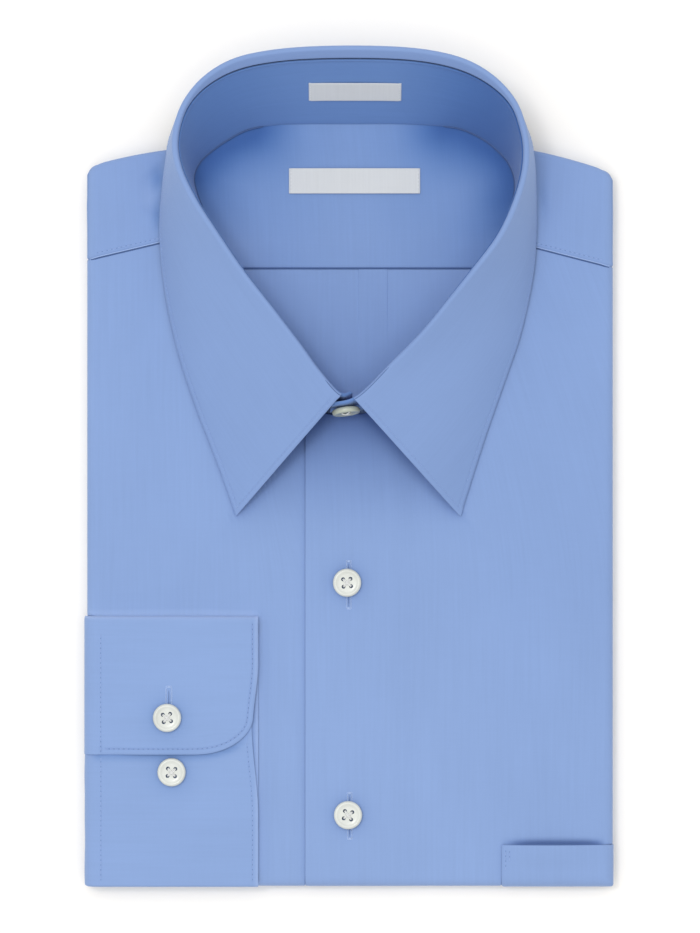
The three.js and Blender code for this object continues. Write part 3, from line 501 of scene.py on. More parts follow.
def yoke_strip(side):
    turns = np.linspace(1, 0, 16)
    inward = joined(spaced(0, 1, 0.03))[1:]
    a = np.concatenate([turns, np.zeros(len(inward))])[:, None]
    c = np.concatenate([np.zeros(len(turns)), inward])[:, None]
    up = joined(np.linspace(0, 0.06, 8), np.linspace(0.06, 1, 28))
    over = np.linspace(0, 1, 16)[1:]
    f = np.concatenate([up, np.ones(len(over))])[None, :]
    b = np.concatenate([np.zeros(len(up)), over])[None, :]

    def place(seam_x, x):
        return mix(front_seam(seam_x), shoulder_fold(x) - YOKE_FOLD, f)

    def neck_at(x):
        return np.abs(along(STRIP_NECK[side], place(x, x)))

    x = side * mix(INNER_X, neck_at(side * neck_at(np.array(side * 60.0))), c)
    spread = (a**3 + b**3) ** (1 / 3)
    spread = np.where(spread > 0, spread, 1)
    share = b / np.where(a + b > 0, a + b, 1)
    fold = mix(SIDE_FOLD, YOKE_FOLD, share)
    turn = mix(TUCK_TURN, math.pi, share) * np.maximum(a, b)
    around = np.clip(a * TUCK_TURN, 0, math.pi / 2)
    y = place(x + side * SIDE_FOLD * around, x)
    edge = mix(-0.3, 0.1, smooth(f / 0.02)) * (1 - smooth(f / 0.06)) * (b == 0)
    relief = creased(x, y, STRIP_CREASES) + edge
    faces = []
    for depth in (-relief, YOKE_PLY - relief):
        bend = np.sin(turn) ** mix(FOLD_SQUARE, 1.0, share)
        across = x + side * (fold - depth) * bend * a / spread
        out = np.clip((np.abs(across) - CORNER_FROM) / CORNER_OVER, 0, 1)
        corner = CORNER_DROP * (1 - np.sqrt(1 - out**2)) * smooth(f * 1.5 - 0.5)
        upward = y - corner + (YOKE_FOLD - depth) * bend * b / spread
        z = STRIP_TOP - depth - (fold - depth) * (1 - squarer(np.cos(turn)))
        faces.append(points_at(across, upward, z))
    return wall_between(*faces)


def yoke_under():
    edge = INNER_X - 0.5
    xs = spaced(-edge, edge, 1.6)
    shoulder = shoulder_fold(xs) - YOKE_FOLD + GAP
    inside = np.maximum(along(BACK_NECK, xs), np.minimum(shoulder, BACK_NECK[0][1]))
    top = np.where(np.abs(xs) > BACK_NECK_REACH, shoulder, inside)
    parts = joined(np.linspace(0, 0.05, 8), np.linspace(0.05, 1, 36))
    x = xs[:, None]
    y = mix(BACK_SEAM, top[:, None], parts[None, :])
    relief = creased(x, y, YOKE_CREASES) - 0.35 * (1 - smooth(y - BACK_SEAM))
    outer = points_at(x, y, YOKE_TOP + relief)
    return wall_between(outer, outer - [0, 0, YOKE_PLY])


# The hidden layers, seen at the edges and from below. Each row is one fold of cloth of the stack:
# the level of its middle, and how far it stands in from the pack's outline at the sides, at the
# lower end and at the top.
STACK = [
    (0.75, 0.6, 0.6, 1.0), (2.2, 0.8, 0.8, 1.2), (3.8, 4.2, 5.0, 1.3),
    (5.2, 4.4, 5.2, 1.6), (6.7, 3.6, 4.4, 1.7), (8.2, 2.8, 3.4, 1.8),
]
STACK_BULGE = 0.55
STACK_CORNER = 3.0
FOLD_HALF = 0.78
FOLD_STEPS = (0.02, 0.14, 0.32, 0.5, 0.68, 0.86, 0.98)


def stack_outline(level, z):
    """The stack's outline at a height, with the waves of that fold's edge."""
    middle, side_in, low_in, top_in = STACK[level]
    groove = STACK_BULGE * min((abs(z - middle) / FOLD_HALF) ** 2, 1.6)
    half = HALF_WIDTH - side_in - groove
    low = BOTTOM + low_in + groove
    corner = STACK_CORNER
    wave = level * 1.9

    def ripple(s):
        return 0.22 * math.sin(s / 13.0 + wave) + 0.13 * math.sin(s / 5.3 + 2.1 * wave)

    def top_at(x):
        under = along(BACK_NECK, x) - 4.5 if abs(x) < BACK_NECK_REACH else 0
        return float(max(shoulder_fold(x), under)) - top_in - groove

    def side_at(sign, y):
        return sign * (half - float(side_pressed(sign, y)) + ripple(y + 40 * sign))

    def notched(y):
        return max(side_at(-1, y), notch) if y < CUFF_TOP_Y + GAP else side_at(-1, y)

    notch_z = SIDE_FOLD + GAP + SLEEVE_THICK
    if z < notch_z - SIDE_FOLD:
        notch = SLEEVE_TUCK + GAP
    else:
        notch = SLEEVE_X - math.sqrt(SIDE_FOLD**2 - min(z - notch_z, 0) ** 2)
    lower = np.linspace(side_at(-1, low) + corner, side_at(1, low) - corner, 60)
    outline = [(x, low + float(bottom_pressed(x)) + ripple(x)) for x in lower]
    outline += [(side_at(1, y), y) for y in np.linspace(low + 2 + corner, top_at(half) - corner, 90)]
    outline += [(x, top_at(x) + 0.6 * ripple(x)) for x in np.linspace(half - corner, corner - half, 90)]
    return outline + [(notched(y), y) for y in np.linspace(top_at(-half) - corner, low + corner, 110)]


def folded_layers():
    levels = []
    middles = [row[0] for row in STACK]
    bounds = [0.0] + [(a + b) / 2 for a, b in zip(middles, middles[1:])] + [HIDDEN_TOP]
    for level, (bottom, top) in enumerate(zip(bounds, bounds[1:])):
        levels += [(level, mix(bottom, top, t)) for t in FOLD_STEPS]
    levels[0] = (0, 0.0)
    levels[-1] = (len(STACK) - 1, HIDDEN_TOP)
    outlines = [stack_outline(level, z) for level, z in levels]
    count = len(outlines[0])
    points = np.array([(x, y, z) for (_, z), outline in zip(levels, outlines) for x, y in outline])
    faces = []
    for k in range(len(levels) - 1):
        for i in range(count):
            n = (i + 1) % count
            faces.append([k * count + i, k * count + n, (k + 1) * count + n, (k + 1) * count + i])
    return points, faces, count


# The sleeve end and the cuff: along the top of the front, round the left side and under the pack
SLEEVE_X = -(INNER_X - SQUEEZE_DEPTH)
SLEEVE_HIGH = FRONT_TOP - SIDE_FOLD
SLEEVE_RADIUS = SIDE_FOLD + GAP
SLEEVE_LOW = SLEEVE_RADIUS + SLEEVE_THICK


def sleeve_way(turn, h):
    radius = SLEEVE_RADIUS + h
    middle = np.where(turn > math.pi / 2, SLEEVE_LOW, SLEEVE_HIGH)
    return SLEEVE_X - radius * squarer(np.sin(turn)), middle + radius * squarer(np.cos(turn))


def sleeve():
    half = SLEEVE_THICK / 2
    high_y, low_y = CUFF_TOP_Y - half, BOTTOM + half
    turns = np.linspace(SEAM_TURN + 0.05, math.pi, 26)
    tucked = np.linspace(0, 1, 7)[1:]

    def face(radius):
        def rounded(y, start):
            angles = np.linspace(start, start + math.pi, 10)
            return [(y + radius * math.cos(t), half + radius * math.sin(t)) for t in angles]

        flat = np.linspace(high_y, low_y, 50)[1:-1]
        section = rounded(high_y, -math.pi / 2) + [(y, half + radius) for y in flat]
        section += rounded(low_y, math.pi / 2) + [(y, half - radius) for y in flat[::-1]]
        grid = []
        for y, h in section:
            wave = 0.12 * math.sin(y / 11.0) * math.sin(y / 4.1 + 1.0)
            xs, zs = sleeve_way(turns, h + wave * (h > half))
            row = [(x, y, z) for x, z in zip(xs, zs)]
            grid.append(row + [(mix(xs[-1], SLEEVE_TUCK, t), y, zs[-1]) for t in tucked])
        return np.array(grid)

    return wall_between(face(half), face(half - PLY), closed=True)


CUFF_BACK = (0.0, CUFF_WALL)
CUFF_UNDER = (CUFF_WALL + GAP, 2 * CUFF_WALL + GAP)
CUFF_OVER = (2 * (CUFF_WALL + GAP), 3 * CUFF_WALL + 2 * GAP)
CUFF_EDGE_STITCH = 2.3


def cuff():
    rows = []  # each with its outer and its inner y and height, and its layer: under, back or over
    high_radius, low_radius = CUFF_OVER[1] / 2, CUFF_UNDER[1] / 2
    high_y, low_y = CUFF_TOP_Y - high_radius, BOTTOM + low_radius

    def flat(ys, heights, layer):
        rows.extend(((y, heights[1]), (y, heights[0]), layer) for y in ys)

    def turn(y, radius, start, steps):
        for angle in np.linspace(start, start + math.pi, steps):
            across, up = math.cos(angle), math.sin(angle)
            ends = [(y + r * across, radius + r * up) for r in (radius, radius - CUFF_WALL)]
            rows.append((*ends, "back"))

    flat(spaced(UNDER_END, low_y, 1.6)[:-1], CUFF_UNDER, "under")
    turn(low_y, low_radius, math.pi / 2, 14)
    flat(spaced(low_y, high_y, 6)[1:-1], CUFF_BACK, "back")
    turn(high_y, high_radius, -math.pi / 2, 16)
    over_ys = stepped(high_y, (1.4, CORNER_Y), (1.0, OVERLAP_END + 4), (0.3, OVERLAP_END))[1:]
    flat(over_ys, CUFF_OVER, "over")
    turns = np.linspace(SEAM_TURN, 0.05, 20)
    xs = stepped(SLEEVE_X, (1.4, CORNER_X), (1.0, HAND_END - 4), (0.3, HAND_END))

    def face(side):
        grid = []
        for row in rows:
            (y, h), layer = row[side], row[2]
            over = layer == "over"
            held = min(h, CUFF_UNDER[1] + 0.2 * (h - CUFF_UNDER[1]))
            round_x = sleeve_way(turns, mix(h, held, smooth(turns / 0.5)))[0]
            line = [(x, y, z) for x, z in zip(round_x, sleeve_way(turns, h)[1])]
            for x in xs:
                px, py = x, y
                dx, dy = x - CORNER_X, CORNER_Y - y
                if over and dx > 0 and dy > 0:
                    wide, high = dx / CORNER_ACROSS, dy / CORNER_UP
                    shrink = max(wide, high) / math.hypot(wide, high)
                    px, py = CORNER_X + dx * shrink, CORNER_Y - dy * shrink
                shifted = px if layer == "back" else drawn_back(px, py, over)
                line.append((shifted, py, SLEEVE_HIGH + SLEEVE_RADIUS + h + cuff_relief(px, py, over)))
            grid.append(line)
        return np.array(grid)

    return wall_between(face(0), face(1))


def drawn_back(x, y, over):
    """x with the overlap's hand edge drawn back toward its corner, and the under end's above the fold."""
    shift = OVERLAP_DRAW * smooth((-80 - y) / 26) if over else UNDER_DRAW * smooth((y + 142) / 38)
    return x - shift * smooth((x - HAND_END + DRAW_EASE) / DRAW_EASE)


def cuff_inset(x, y):
    """How far a point lies inside the overlap's lower, rounded and hand edges."""
    if x > CORNER_X and y < CORNER_Y:
        wide, high = (x - CORNER_X) / CORNER_ACROSS, (CORNER_Y - y) / CORNER_UP
        out = math.hypot(wide, high)
        return (1 - out) * out / max(math.hypot(wide / CORNER_ACROSS, high / CORNER_UP), 1e-6)
    return min(HAND_END - x, y - OVERLAP_END)


def cuff_relief(x, y, over):
    if not over:
        return -0.12 * bell(HAND_END - x - CUFF_EDGE_STITCH, 0.5)
    inset = cuff_inset(x, y)
    above = max(y - OVERLAP_END, 0)
    seam = -0.14 * bell(inset - CUFF_EDGE_STITCH, 0.5) - 0.35 * bell(inset, 0.5)
    lift = 0.9 * bell(above, 7) * smooth((x + 98) / 14) + 0.25 * math.sin(x / 7.0) * bell(above, 5)
    return seam + lift - 0.2 * round_buttons(x, y, BUTTONS[2:3], DRAWN_WIDE)


# The collar: stations round the neck, from the left front point to the right one. Each has the x and
# y of the band's foot, the x, y and z of its top and of the leaf's edge, and the leaf's arch.
FOOT_LEVEL = YOKE_TOP + GAP
STATIONS = np.array([
    [-3.0, 25.6, -3.2, 29.3, 36.0, -46.4, -20.2, 13.9, 2.0],
    [-18.4, 31.1, -11.8, 37.9, 37.5, -53.8, 0.9, 13.9, 2.0],
    [-28.1, 46.2, -20.0, 49.2, 39.5, -61.5, 20.9, 13.9, 2.5],
    [-36.3, 61.3, -31.0, 63.8, 41.5, -68.8, 42.5, 14.0, 2.5],
    [-46.1, 78.0, -42.6, 78.8, 43.0, -74.1, 64.5, 14.1, 2.5],
    [-55.5, 95.1, -53.4, 94.8, 44.0, -76.6, 82.0, 14.3, 2.0],
    [-61.6, 109.0, -61.8, 108.1, 44.0, -77.4, 97.1, 14.6, 1.5],
    [-63.6, 117.6, -67.2, 120.0, 44.0, -76.4, 111.5, 14.6, 1.0],
    [-61.4, 123.6, -68.7, 129.0, 43.5, -75.0, 122.8, 14.8, 0.6],
    [-56.3, 128.6, -67.5, 137.5, 42.5, -73.0, 134.5, 13.0, 0.3],
    [-49.8, 133.1, -64.3, 145.2, 41.5, -68.5, 142.0, 7.0, 0],
    [-42.0, 137.1, -57.5, 152.6, 40.0, -58.0, 146.0, 5.0, 0],
    [-30.6, 139.2, -46.3, 158.9, 38.5, -43.0, 147.0, 4.5, 0],
    [-17.9, 139.6, -30.0, 162.6, 37.5, -26.0, 146.5, 4.2, 0],
    [0, 139.6, 0, 164.1, 37.0, 0, 145.5, 4.0, 0],
    [20.4, 139.6, 30.0, 162.6, 37.5, 26.0, 146.5, 4.2, 0],
    [33.4, 139.0, 46.7, 158.3, 38.5, 43.0, 147.0, 4.5, 0],
    [44.9, 137.6, 58.0, 151.7, 40.0, 58.0, 146.0, 5.0, 0],
    [54.6, 133.1, 64.7, 144.4, 41.5, 68.5, 142.0, 7.0, 0],
    [60.6, 128.2, 67.9, 135.9, 42.5, 73.0, 134.5, 13.0, 0.3],
    [65.0, 122.9, 69.3, 127.6, 43.5, 74.9, 123.8, 14.8, 0.6],
    [67.2, 116.0, 68.6, 118.0, 44.0, 75.5, 112.0, 14.6, 1.0],
    [66.1, 106.6, 65.0, 105.7, 44.0, 75.6, 97.1, 14.6, 1.5],
    [62.0, 93.9, 59.1, 93.1, 44.0, 75.0, 83.2, 14.3, 2.0],
    [53.4, 78.8, 49.0, 79.4, 43.0, 73.0, 69.8, 14.1, 2.5],
    [46.1, 66.2, 40.5, 68.6, 41.5, 68.9, 52.3, 14.0, 2.5],
    [35.9, 50.7, 29.6, 55.1, 39.5, 62.8, 34.3, 13.9, 2.5],
    [22.8, 34.4, 16.9, 42.0, 37.5, 54.6, 10.7, 13.9, 2.0],
    [4.1, 23.4, 1.4, 27.6, 36.0, 44.8, -20.2, 13.9, 2.0],
])
# The band runs on under and over the closing: the foot's x and y, and the top's x, y and z
BAND_UNDER = [1.2, 26.4, 0.4, 30.2, 33.0]
BAND_OVER = [-8.4, 22.9, -7.4, 25.5, 35.2]


def catmull(points, ts):
    """Centripetal curve through points at shares ts of its length in stations."""
    points = np.asarray(points, float)
    ends = np.vstack([2 * points[0] - points[1], points, 2 * points[-1] - points[-2]])
    place = np.clip(np.atleast_1d(ts), 0, 1) * (len(points) - 1)
    i = np.minimum(place.astype(int), len(points) - 2)
    w = (place - i)[:, None]
    p0, p1, p2, p3 = (ends[i + n] for n in range(4))
    apart = [np.linalg.norm(b - a, axis=1)[:, None] for a, b in ((p0, p1), (p1, p2), (p2, p3))]
    d0, d1, d2 = (np.maximum(np.sqrt(length), 1e-4) for length in apart)
    t1 = ((p1 - p0) / d0 - (p2 - p0) / (d0 + d1) + (p2 - p1) / d1) * d1
    t2 = ((p2 - p1) / d1 - (p3 - p1) / (d1 + d2) + (p3 - p2) / d2) * d1
    return p1 + t1 * w + (3 * (p2 - p1) - 2 * t1 - t2) * w**2 + (2 * (p1 - p2) + t1 + t2) * w**3


LAST = len(STATIONS) - 1
FEET = np.column_stack([STATIONS[:, 0:2], np.full(LAST + 1, FOOT_LEVEL)])
TOPS, EDGES, ARCHES = STATIONS[:, 2:5], STATIONS[:, 5:8], STATIONS[:, 8]
BAND_FEET = np.vstack([[*BAND_UNDER[:2], FOOT_LEVEL], FEET, [*BAND_OVER[:2], FOOT_LEVEL]])
BAND_TOPS = np.vstack([BAND_UNDER[2:], TOPS, BAND_OVER[2:]])
BAND_LAST = len(BAND_FEET) - 1
LEAF_ROLL = 0.7  # the fold's radius
LEAF_STAND = (0.9, 3.9)  # from the band up to the fold, at the fronts and behind the neck
LEAF_TURNS_OVER = 5  # stations from an end until the leaf falls square to the band
LEAF_RISES = (9.5, 3)  # stations from an end where the fold starts to rise, and over how many
LEAF_LEAVES, LEAF_ARRIVES = 0.25, 0.66  # the fall's two handles, as shares of its chord
LEAF_DENSE = 4.0  # the stretch before the edge where the rows lie closer
LEAF_SHORTEST = 12
LEAF_SEAM_ROWS = 4
LEAF_ROLL_ROWS = 10
LEAF_FALL_ROWS = 26
LEAF_EDGE_ROWS = 12
FALL_START = LEAF_SEAM_ROWS + LEAF_ROLL_ROWS
LEAF_STITCH = 2.1
COLLAR_WALL = 1.4


def band_grid(shares, heights):
    """Points of the band's neck side. Their normals point at the neck."""
    feet, tops = catmull(BAND_FEET, shares), catmull(BAND_TOPS, shares)
    return feet[:, None] + (tops - feet)[:, None] * np.asarray(heights)[None, :, None]


def collar_band():
    heights = stepped(0, (0.05, 0.9), (0.01, 0.995))
    grid = band_grid(np.linspace(0, 1, 300), heights)
    grid = moved(grid, 0.35 * bell(heights - 0.985, 0.02)[None, :])
    faces = [moved(grid, -distance) for distance in (COLLAR_WALL - 0.3, 0)]
    for face in faces:
        face[:, :, 2] = np.maximum(face[:, :, 2], FOOT_LEVEL)
    return wall_between(*faces)


def leaf_section(t):
    share = (1 + t * LAST) / BAND_LAST
    foot, top = catmull(BAND_FEET, share)[0], catmull(BAND_TOPS, share)[0]
    ahead = (catmull(BAND_TOPS, share + 1e-4)[0] - catmull(BAND_TOPS, share - 1e-4)[0]) * [1, 1, 0]
    ahead /= np.linalg.norm(ahead)
    edge = catmull(EDGES, t)[0]
    straight = (edge - top) * [1, 1, 0]
    from_end = min(t, 1 - t) * LAST
    across = np.array([-ahead[1], ahead[0], 0])
    out = mix(straight / np.linalg.norm(straight), across, smooth(from_end / LEAF_TURNS_OVER))
    out /= np.linalg.norm(out)
    stand = mix(*LEAF_STAND, smooth((from_end - LEAF_RISES[0]) / LEAF_RISES[1]))
    rise = (top - foot) / np.linalg.norm(top - foot)
    seam = top + 0.2 * rise + out * COLLAR_WALL / 2
    start = seam + stand * rise
    leave = math.atan2(rise[2], rise @ out)
    fall = edge - start
    arrive = math.atan2(fall[2] + LEAF_ROLL, max(fall @ out - 2 * LEAF_ROLL, -30))
    end = arrive - 2 * math.pi if arrive > 0 else arrive
    points = [mix(seam, start, k / LEAF_SEAM_ROWS) for k in range(LEAF_SEAM_ROWS)]
    for angle in np.linspace(leave, end, LEAF_ROLL_ROWS):
        along_out = LEAF_ROLL * (math.sin(leave) - math.sin(angle))
        up = LEAF_ROLL * (math.cos(angle) - math.cos(leave))
        points.append(start + out * along_out + np.array([0, 0, up]))
    last = points[-1]
    chord = edge - last
    length = np.linalg.norm(chord)
    unit = chord / length
    lift = np.array([0, 0, 1]) - unit[2] * unit
    lift /= np.linalg.norm(lift)
    arch = np.interp(t * LAST, np.arange(LAST + 1), ARCHES)
    heading = out * math.cos(end) + np.array([0, 0, math.sin(end)])
    near = last + heading * length * LEAF_LEAVES
    far = last + chord * LEAF_ARRIVES + lift * arch
    inner = 1 - LEAF_DENSE / max(length, LEAF_SHORTEST)
    ks = joined(np.linspace(0, inner, LEAF_FALL_ROWS), np.linspace(inner, 1, LEAF_EDGE_ROWS))[1:, None]
    curve = (1 - ks) ** 3 * last + 3 * (1 - ks) ** 2 * ks * near + 3 * (1 - ks) * ks**2 * far + ks**3 * edge
    return np.vstack([points, curve])


def leaf_grid():
    """Points of the leaf, from its seam over the fold to its edge. Their normals point off the cloth."""
    ends = 0.3 / LAST
    ts = joined(np.linspace(0, ends, 14), np.linspace(ends, 1 - ends, 190), np.linspace(1 - ends, 1, 14))
    return np.array([leaf_section(t) for t in ts])


def distance_to(grid, line):
    flat = grid.reshape(-1, 3)
    best = np.full(len(flat), 1e9)
    for a, b in zip(line, line[1:]):
        ab = b - a
        s = np.clip((flat - a) @ ab / max(ab @ ab, 1e-9), 0, 1)[:, None]
        best = np.minimum(best, np.linalg.norm(flat - a - s * ab, axis=1))
    return best.reshape(grid.shape[:2])


def collar_leaf(grid):
    lines = (grid[0, FALL_START:], grid[-1, FALL_START:], grid[::6, -1])
    inset = np.min([distance_to(grid, line) for line in lines], axis=0)
    relief = -0.12 * bell(inset - LEAF_STITCH, 0.4) - 0.3 * bell(inset, 0.45)
    relief[:, :FALL_START] = 0
    half = COLLAR_PLY / 2
    return wall_between(moved(grid, half + relief), moved(grid, -(half + 0.6 * relief)))


BAND_LABEL = (-16.7, 20.8)
BAND_LABEL_HEIGHTS = (0.38, 0.65)
NECK_LABEL = (-24.9, 28.6)
NECK_LABEL_ENDS = (111.3, 121.6)
LABEL_LEVEL = YOKE_TOP + GAP


def on_band(xs, heights):
    """A grid on the band behind the neck, at places across and shares of the band's height."""
    shares = np.linspace(0.3, 0.7, 401)
    columns = []
    for k in heights:
        reach = band_grid(shares, [k])[:, 0, 0]
        columns.append(band_grid(np.interp(xs, reach, shares), [k])[:, 0])
    return np.stack(columns, 1)


def collar_label():
    left, right = BAND_LABEL
    xs = stepped(left, (0.25, left + 1.5), (0.7, right - 1.5), (0.25, right))
    grid = on_band(xs, np.linspace(*BAND_LABEL_HEIGHTS, 14))
    i = ((xs - left) / (right - left))[:, None]
    j = np.linspace(0, 1, 14)[None, :]
    off = 0.35 * np.sin(math.pi * i) * (0.5 + 0.5 * j) - 0.25 * (bell(i, 0.02) + bell(1 - i, 0.02))
    return wall_between(moved(grid, 0.6 + off), moved(grid, 0.12 + off))


def neck_label():
    left, right = NECK_LABEL
    xs = stepped(left, (0.2, left + 2), (1.0, right - 2), (0.2, right))
    x, y = xs[:, None], spaced(*NECK_LABEL_ENDS, 0.5)[None, :]
    share = (x - left) / (right - left)
    bow = 0.25 * np.sin(math.pi * share) + 0.1 * np.sin(5 * share + y * 0.2)
    turned = 0.3 * (bell(x - left, 0.5) + bell(x - right, 0.5))
    outer = points_at(x, y, LABEL_LEVEL + 0.5 + bow - turned)
    return wall_between(outer, outer - [0, 0, 0.35])


# Threads


def strand(points, radius, sides=6):
    """A thread through points, as vertices and faces, thin at its ends."""
    points = np.asarray(points, float)
    ahead = np.gradient(points, axis=0)
    ahead /= np.maximum(np.linalg.norm(ahead, axis=1, keepdims=True), 1e-9)
    aside = np.cross(ahead, [0.03, 0.02, 1.0])
    aside /= np.maximum(np.linalg.norm(aside, axis=1, keepdims=True), 1e-9)
    above = np.cross(aside, ahead)
    count = len(points)
    taper = np.ones(count)
    taper[0] = taper[-1] = 0.45
    angle = np.linspace(0, 2 * math.pi, sides, endpoint=False)[None, :, None]
    ring = aside[:, None] * np.cos(angle) + above[:, None] * np.sin(angle)
    around = (points[:, None] + radius * taper[:, None, None] * ring).reshape(-1, 3)
    tips = [points[0] - 0.5 * radius * ahead[0], points[-1] + 0.5 * radius * ahead[-1]]
    faces = []
    for low in range(0, (count - 1) * sides, sides):
        high = low + sides
        for k in range(sides):
            n = (k + 1) % sides
            faces.append([low + k, low + n, high + n, high + k])
    start, last = len(around), (count - 1) * sides
    for k in range(sides):
        n = (k + 1) % sides
        faces.append([start, n, k])
        faces.append([start + 1, last + k, last + n])
    return np.vstack([around, tips]), faces


def thread_piece(name, strands, material):
    faces, start = [], 0
    for points, corners in strands:
        faces.extend([[c + start for c in face] for face in corners])
        start += len(points)
    mesh = new_mesh(name, np.concatenate([points for points, _ in strands]), faces, material)
    return settled(name, mesh)


def stitches(line, up, pitch=2.0, length=1.45, radius=0.14, first=0.3):
    """Threads of a seam along a line of points, up being the direction off the cloth at each."""
    line, up = np.asarray(line, float), np.asarray(up, float)
    reach = np.concatenate([[0], np.cumsum(np.linalg.norm(np.diff(line, axis=0), axis=1))])
    rise = radius * np.array([-0.8, 0.25, 0.55, 0.25, -0.8])[:, None]
    made = []
    for start in np.arange(first, reach[-1] - length, pitch):
        spots = start + length * np.array([0, 0.2, 0.5, 0.8, 1.0])
        points = np.stack([np.interp(spots, reach, line[:, n]) for n in range(3)], 1)
        off = np.stack([np.interp(spots, reach, up[:, n]) for n in range(3)], 1)
        made.append(strand(points + off * rise, radius, sides=5))
    return made


def holes_between(line, up):
    """Dark strands between the threads of such a seam: painted shade in its needle holes."""
    return stitches(line, up, length=0.5, radius=0.13, first=1.78)


def all_stitches(lines, sew=stitches):
    return [made for line in lines for made in sew(*line)]


def inset_line(grid, axis, end, distance):
    """The line on a grid that lies a distance inside one of its edges, with the normals there."""
    line, normals = (np.moveaxis(array, axis, 0) for array in (grid, grid_normals(grid)))
    if end:
        line, normals = line[::-1], normals[::-1]
    away = distance_to(line[:16], line[0])
    points, ups = [], []
    for k in range(line.shape[1]):
        column = away[:, k]
        if column.max() >= distance:
            n = int(np.argmax(column >= distance))
            part = (distance - column[n - 1]) / max(column[n] - column[n - 1], 1e-9)
            points.append(mix(line[n - 1, k], line[n, k], part))
            ups.append(normals[n, k])
    return np.array(points), np.array(ups)


# Materials


class Graph:
    """A material under construction."""

    def __init__(self, name):
        self.material = bpy.data.materials.new(name)
        self.material.use_nodes = True
        self.tree = self.material.node_tree
        self.tree.nodes.clear()

    def add(self, kind, inputs=(), **settings):
        """A new node. An input is a constant, a socket, or a node that stands for its first output."""
        made = self.tree.nodes.new("ShaderNode" + kind)
        for key, value in settings.items():
            setattr(made, key, value)
        for key, value in dict(inputs).items():
            if isinstance(value, bpy.types.Node):
                value = value.outputs[0]
            if isinstance(value, bpy.types.NodeSocket):
                self.tree.links.new(value, made.inputs[key])
            else:
                made.inputs[key].default_value = value
        return made

    def math(self, operation, a, b):
        return self.add("Math", {0: a, 1: b}, operation=operation)

    def scaled(self, value, to_low, to_high, low=0.3, high=0.7):
        limits = {"From Min": low, "From Max": high, "To Min": to_low, "To Max": to_high}
        return self.add("MapRange", {"Value": value, **limits})

    def noise(self, place, scale, detail, roughness=0.5):
        inputs = {"Vector": place, "Scale": scale, "Detail": detail, "Roughness": roughness}
        return self.add("TexNoise", inputs)

    def finished(self, inputs):
        """The material, its surface the standard shader with these inputs."""
        self.add("OutputMaterial", {0: self.add("BsdfPrincipled", inputs)})
        return self.material


def cloth_material(
    name, color, deep=(0.6, 0.72, 0.84), sheen=0.25, streaks=0.02, weave=0.35, warp_first=False,
):
    """A fine plain weave with slubs along the warp, from the cloth's own coordinates in metres. Where a
    piece has painted shade, its colour is multiplied by a power of deep; painted light is a power below 0."""
    g = Graph(name)
    split = g.add("SeparateXYZ", {0: g.add("UVMap", uv_map="cloth")})
    weft, warp = ("Y", "X") if warp_first else ("X", "Y")

    def stretched(across, along_warp):
        """The coordinates times the repeats in a metre across the warp and along it."""
        x = g.math("MULTIPLY", split.outputs[weft], across)
        return g.add("CombineXYZ", {0: x, 1: g.math("MULTIPLY", split.outputs[warp], along_warp)})

    def thread_wave(direction):
        inputs = {"Vector": stretched(1050, 1150), "Scale": 1.0, "Distortion": 0.6, "Detail": 1.0}
        return g.add("TexWave", inputs, wave_type="BANDS", bands_direction=direction)

    slub = g.noise(stretched(900, 26), 1.0, 3.0, 0.6)
    cross = g.noise(stretched(60, 1400), 1.0, 2.0, 0.5)
    broad = g.noise(stretched(24, 14), 1.0, 3.0, 0.55)
    shade = g.math("MULTIPLY", g.scaled(slub, 1 - streaks, 1 + streaks), g.scaled(broad, 0.975, 1.025))
    shade = g.math("MULTIPLY", shade, g.scaled(cross, 1 - streaks / 3, 1 + streaks / 3))
    power = g.add("Attribute", attribute_name="painted_shade_power").outputs["Fac"]
    channels = {k: g.math("MULTIPLY", g.math("POWER", deep[k], power), color[k]) for k in range(3)}
    tint = g.add("VectorMath", {0: g.add("CombineXYZ", channels), "Scale": shade}, operation="SCALE")
    weaving = g.math("ADD", thread_wave("X"), thread_wave("Y"))
    bump = g.add("Bump", {"Strength": weave, "Distance": 0.00004, "Height": g.math("ADD", weaving, slub)})
    return g.finished({
        "Base Color": tint, "Normal": bump, "Roughness": 0.78, "Specular IOR Level": 0.22,
        "Sheen Weight": sheen, "Sheen Roughness": 0.45, "Sheen Tint": (0.75, 0.85, 1.0, 1.0),
    })


def plain_material(name, color, roughness, specular, scale, spread):
    """A finish with soft mottling in its colour, its roughness and its surface."""
    g = Graph(name)
    broad = g.noise(g.add("TexCoord").outputs["Object"], scale, 3.0)
    shade = g.scaled(broad, 1 - spread, 1 + spread)
    rough = g.scaled(broad, roughness * 0.85, min(roughness * 1.15, 1), 0.0, 1.0)
    return g.finished({
        "Base Color": g.add("VectorMath", {0: color, "Scale": shade}, operation="SCALE"),
        "Roughness": rough,
        "Specular IOR Level": specular,
        "Normal": g.add("Bump", {"Strength": 0.3, "Distance": 0.00003, "Height": broad}),
    })


def thread_material(name, color, roughness=0.5, specular=0.4, spread=0.08):
    return plain_material(name, color, roughness, specular, 2500, spread)


def resin_material(name, color):
    return plain_material(name, color, 0.24, 0.5, 160, 0.06)


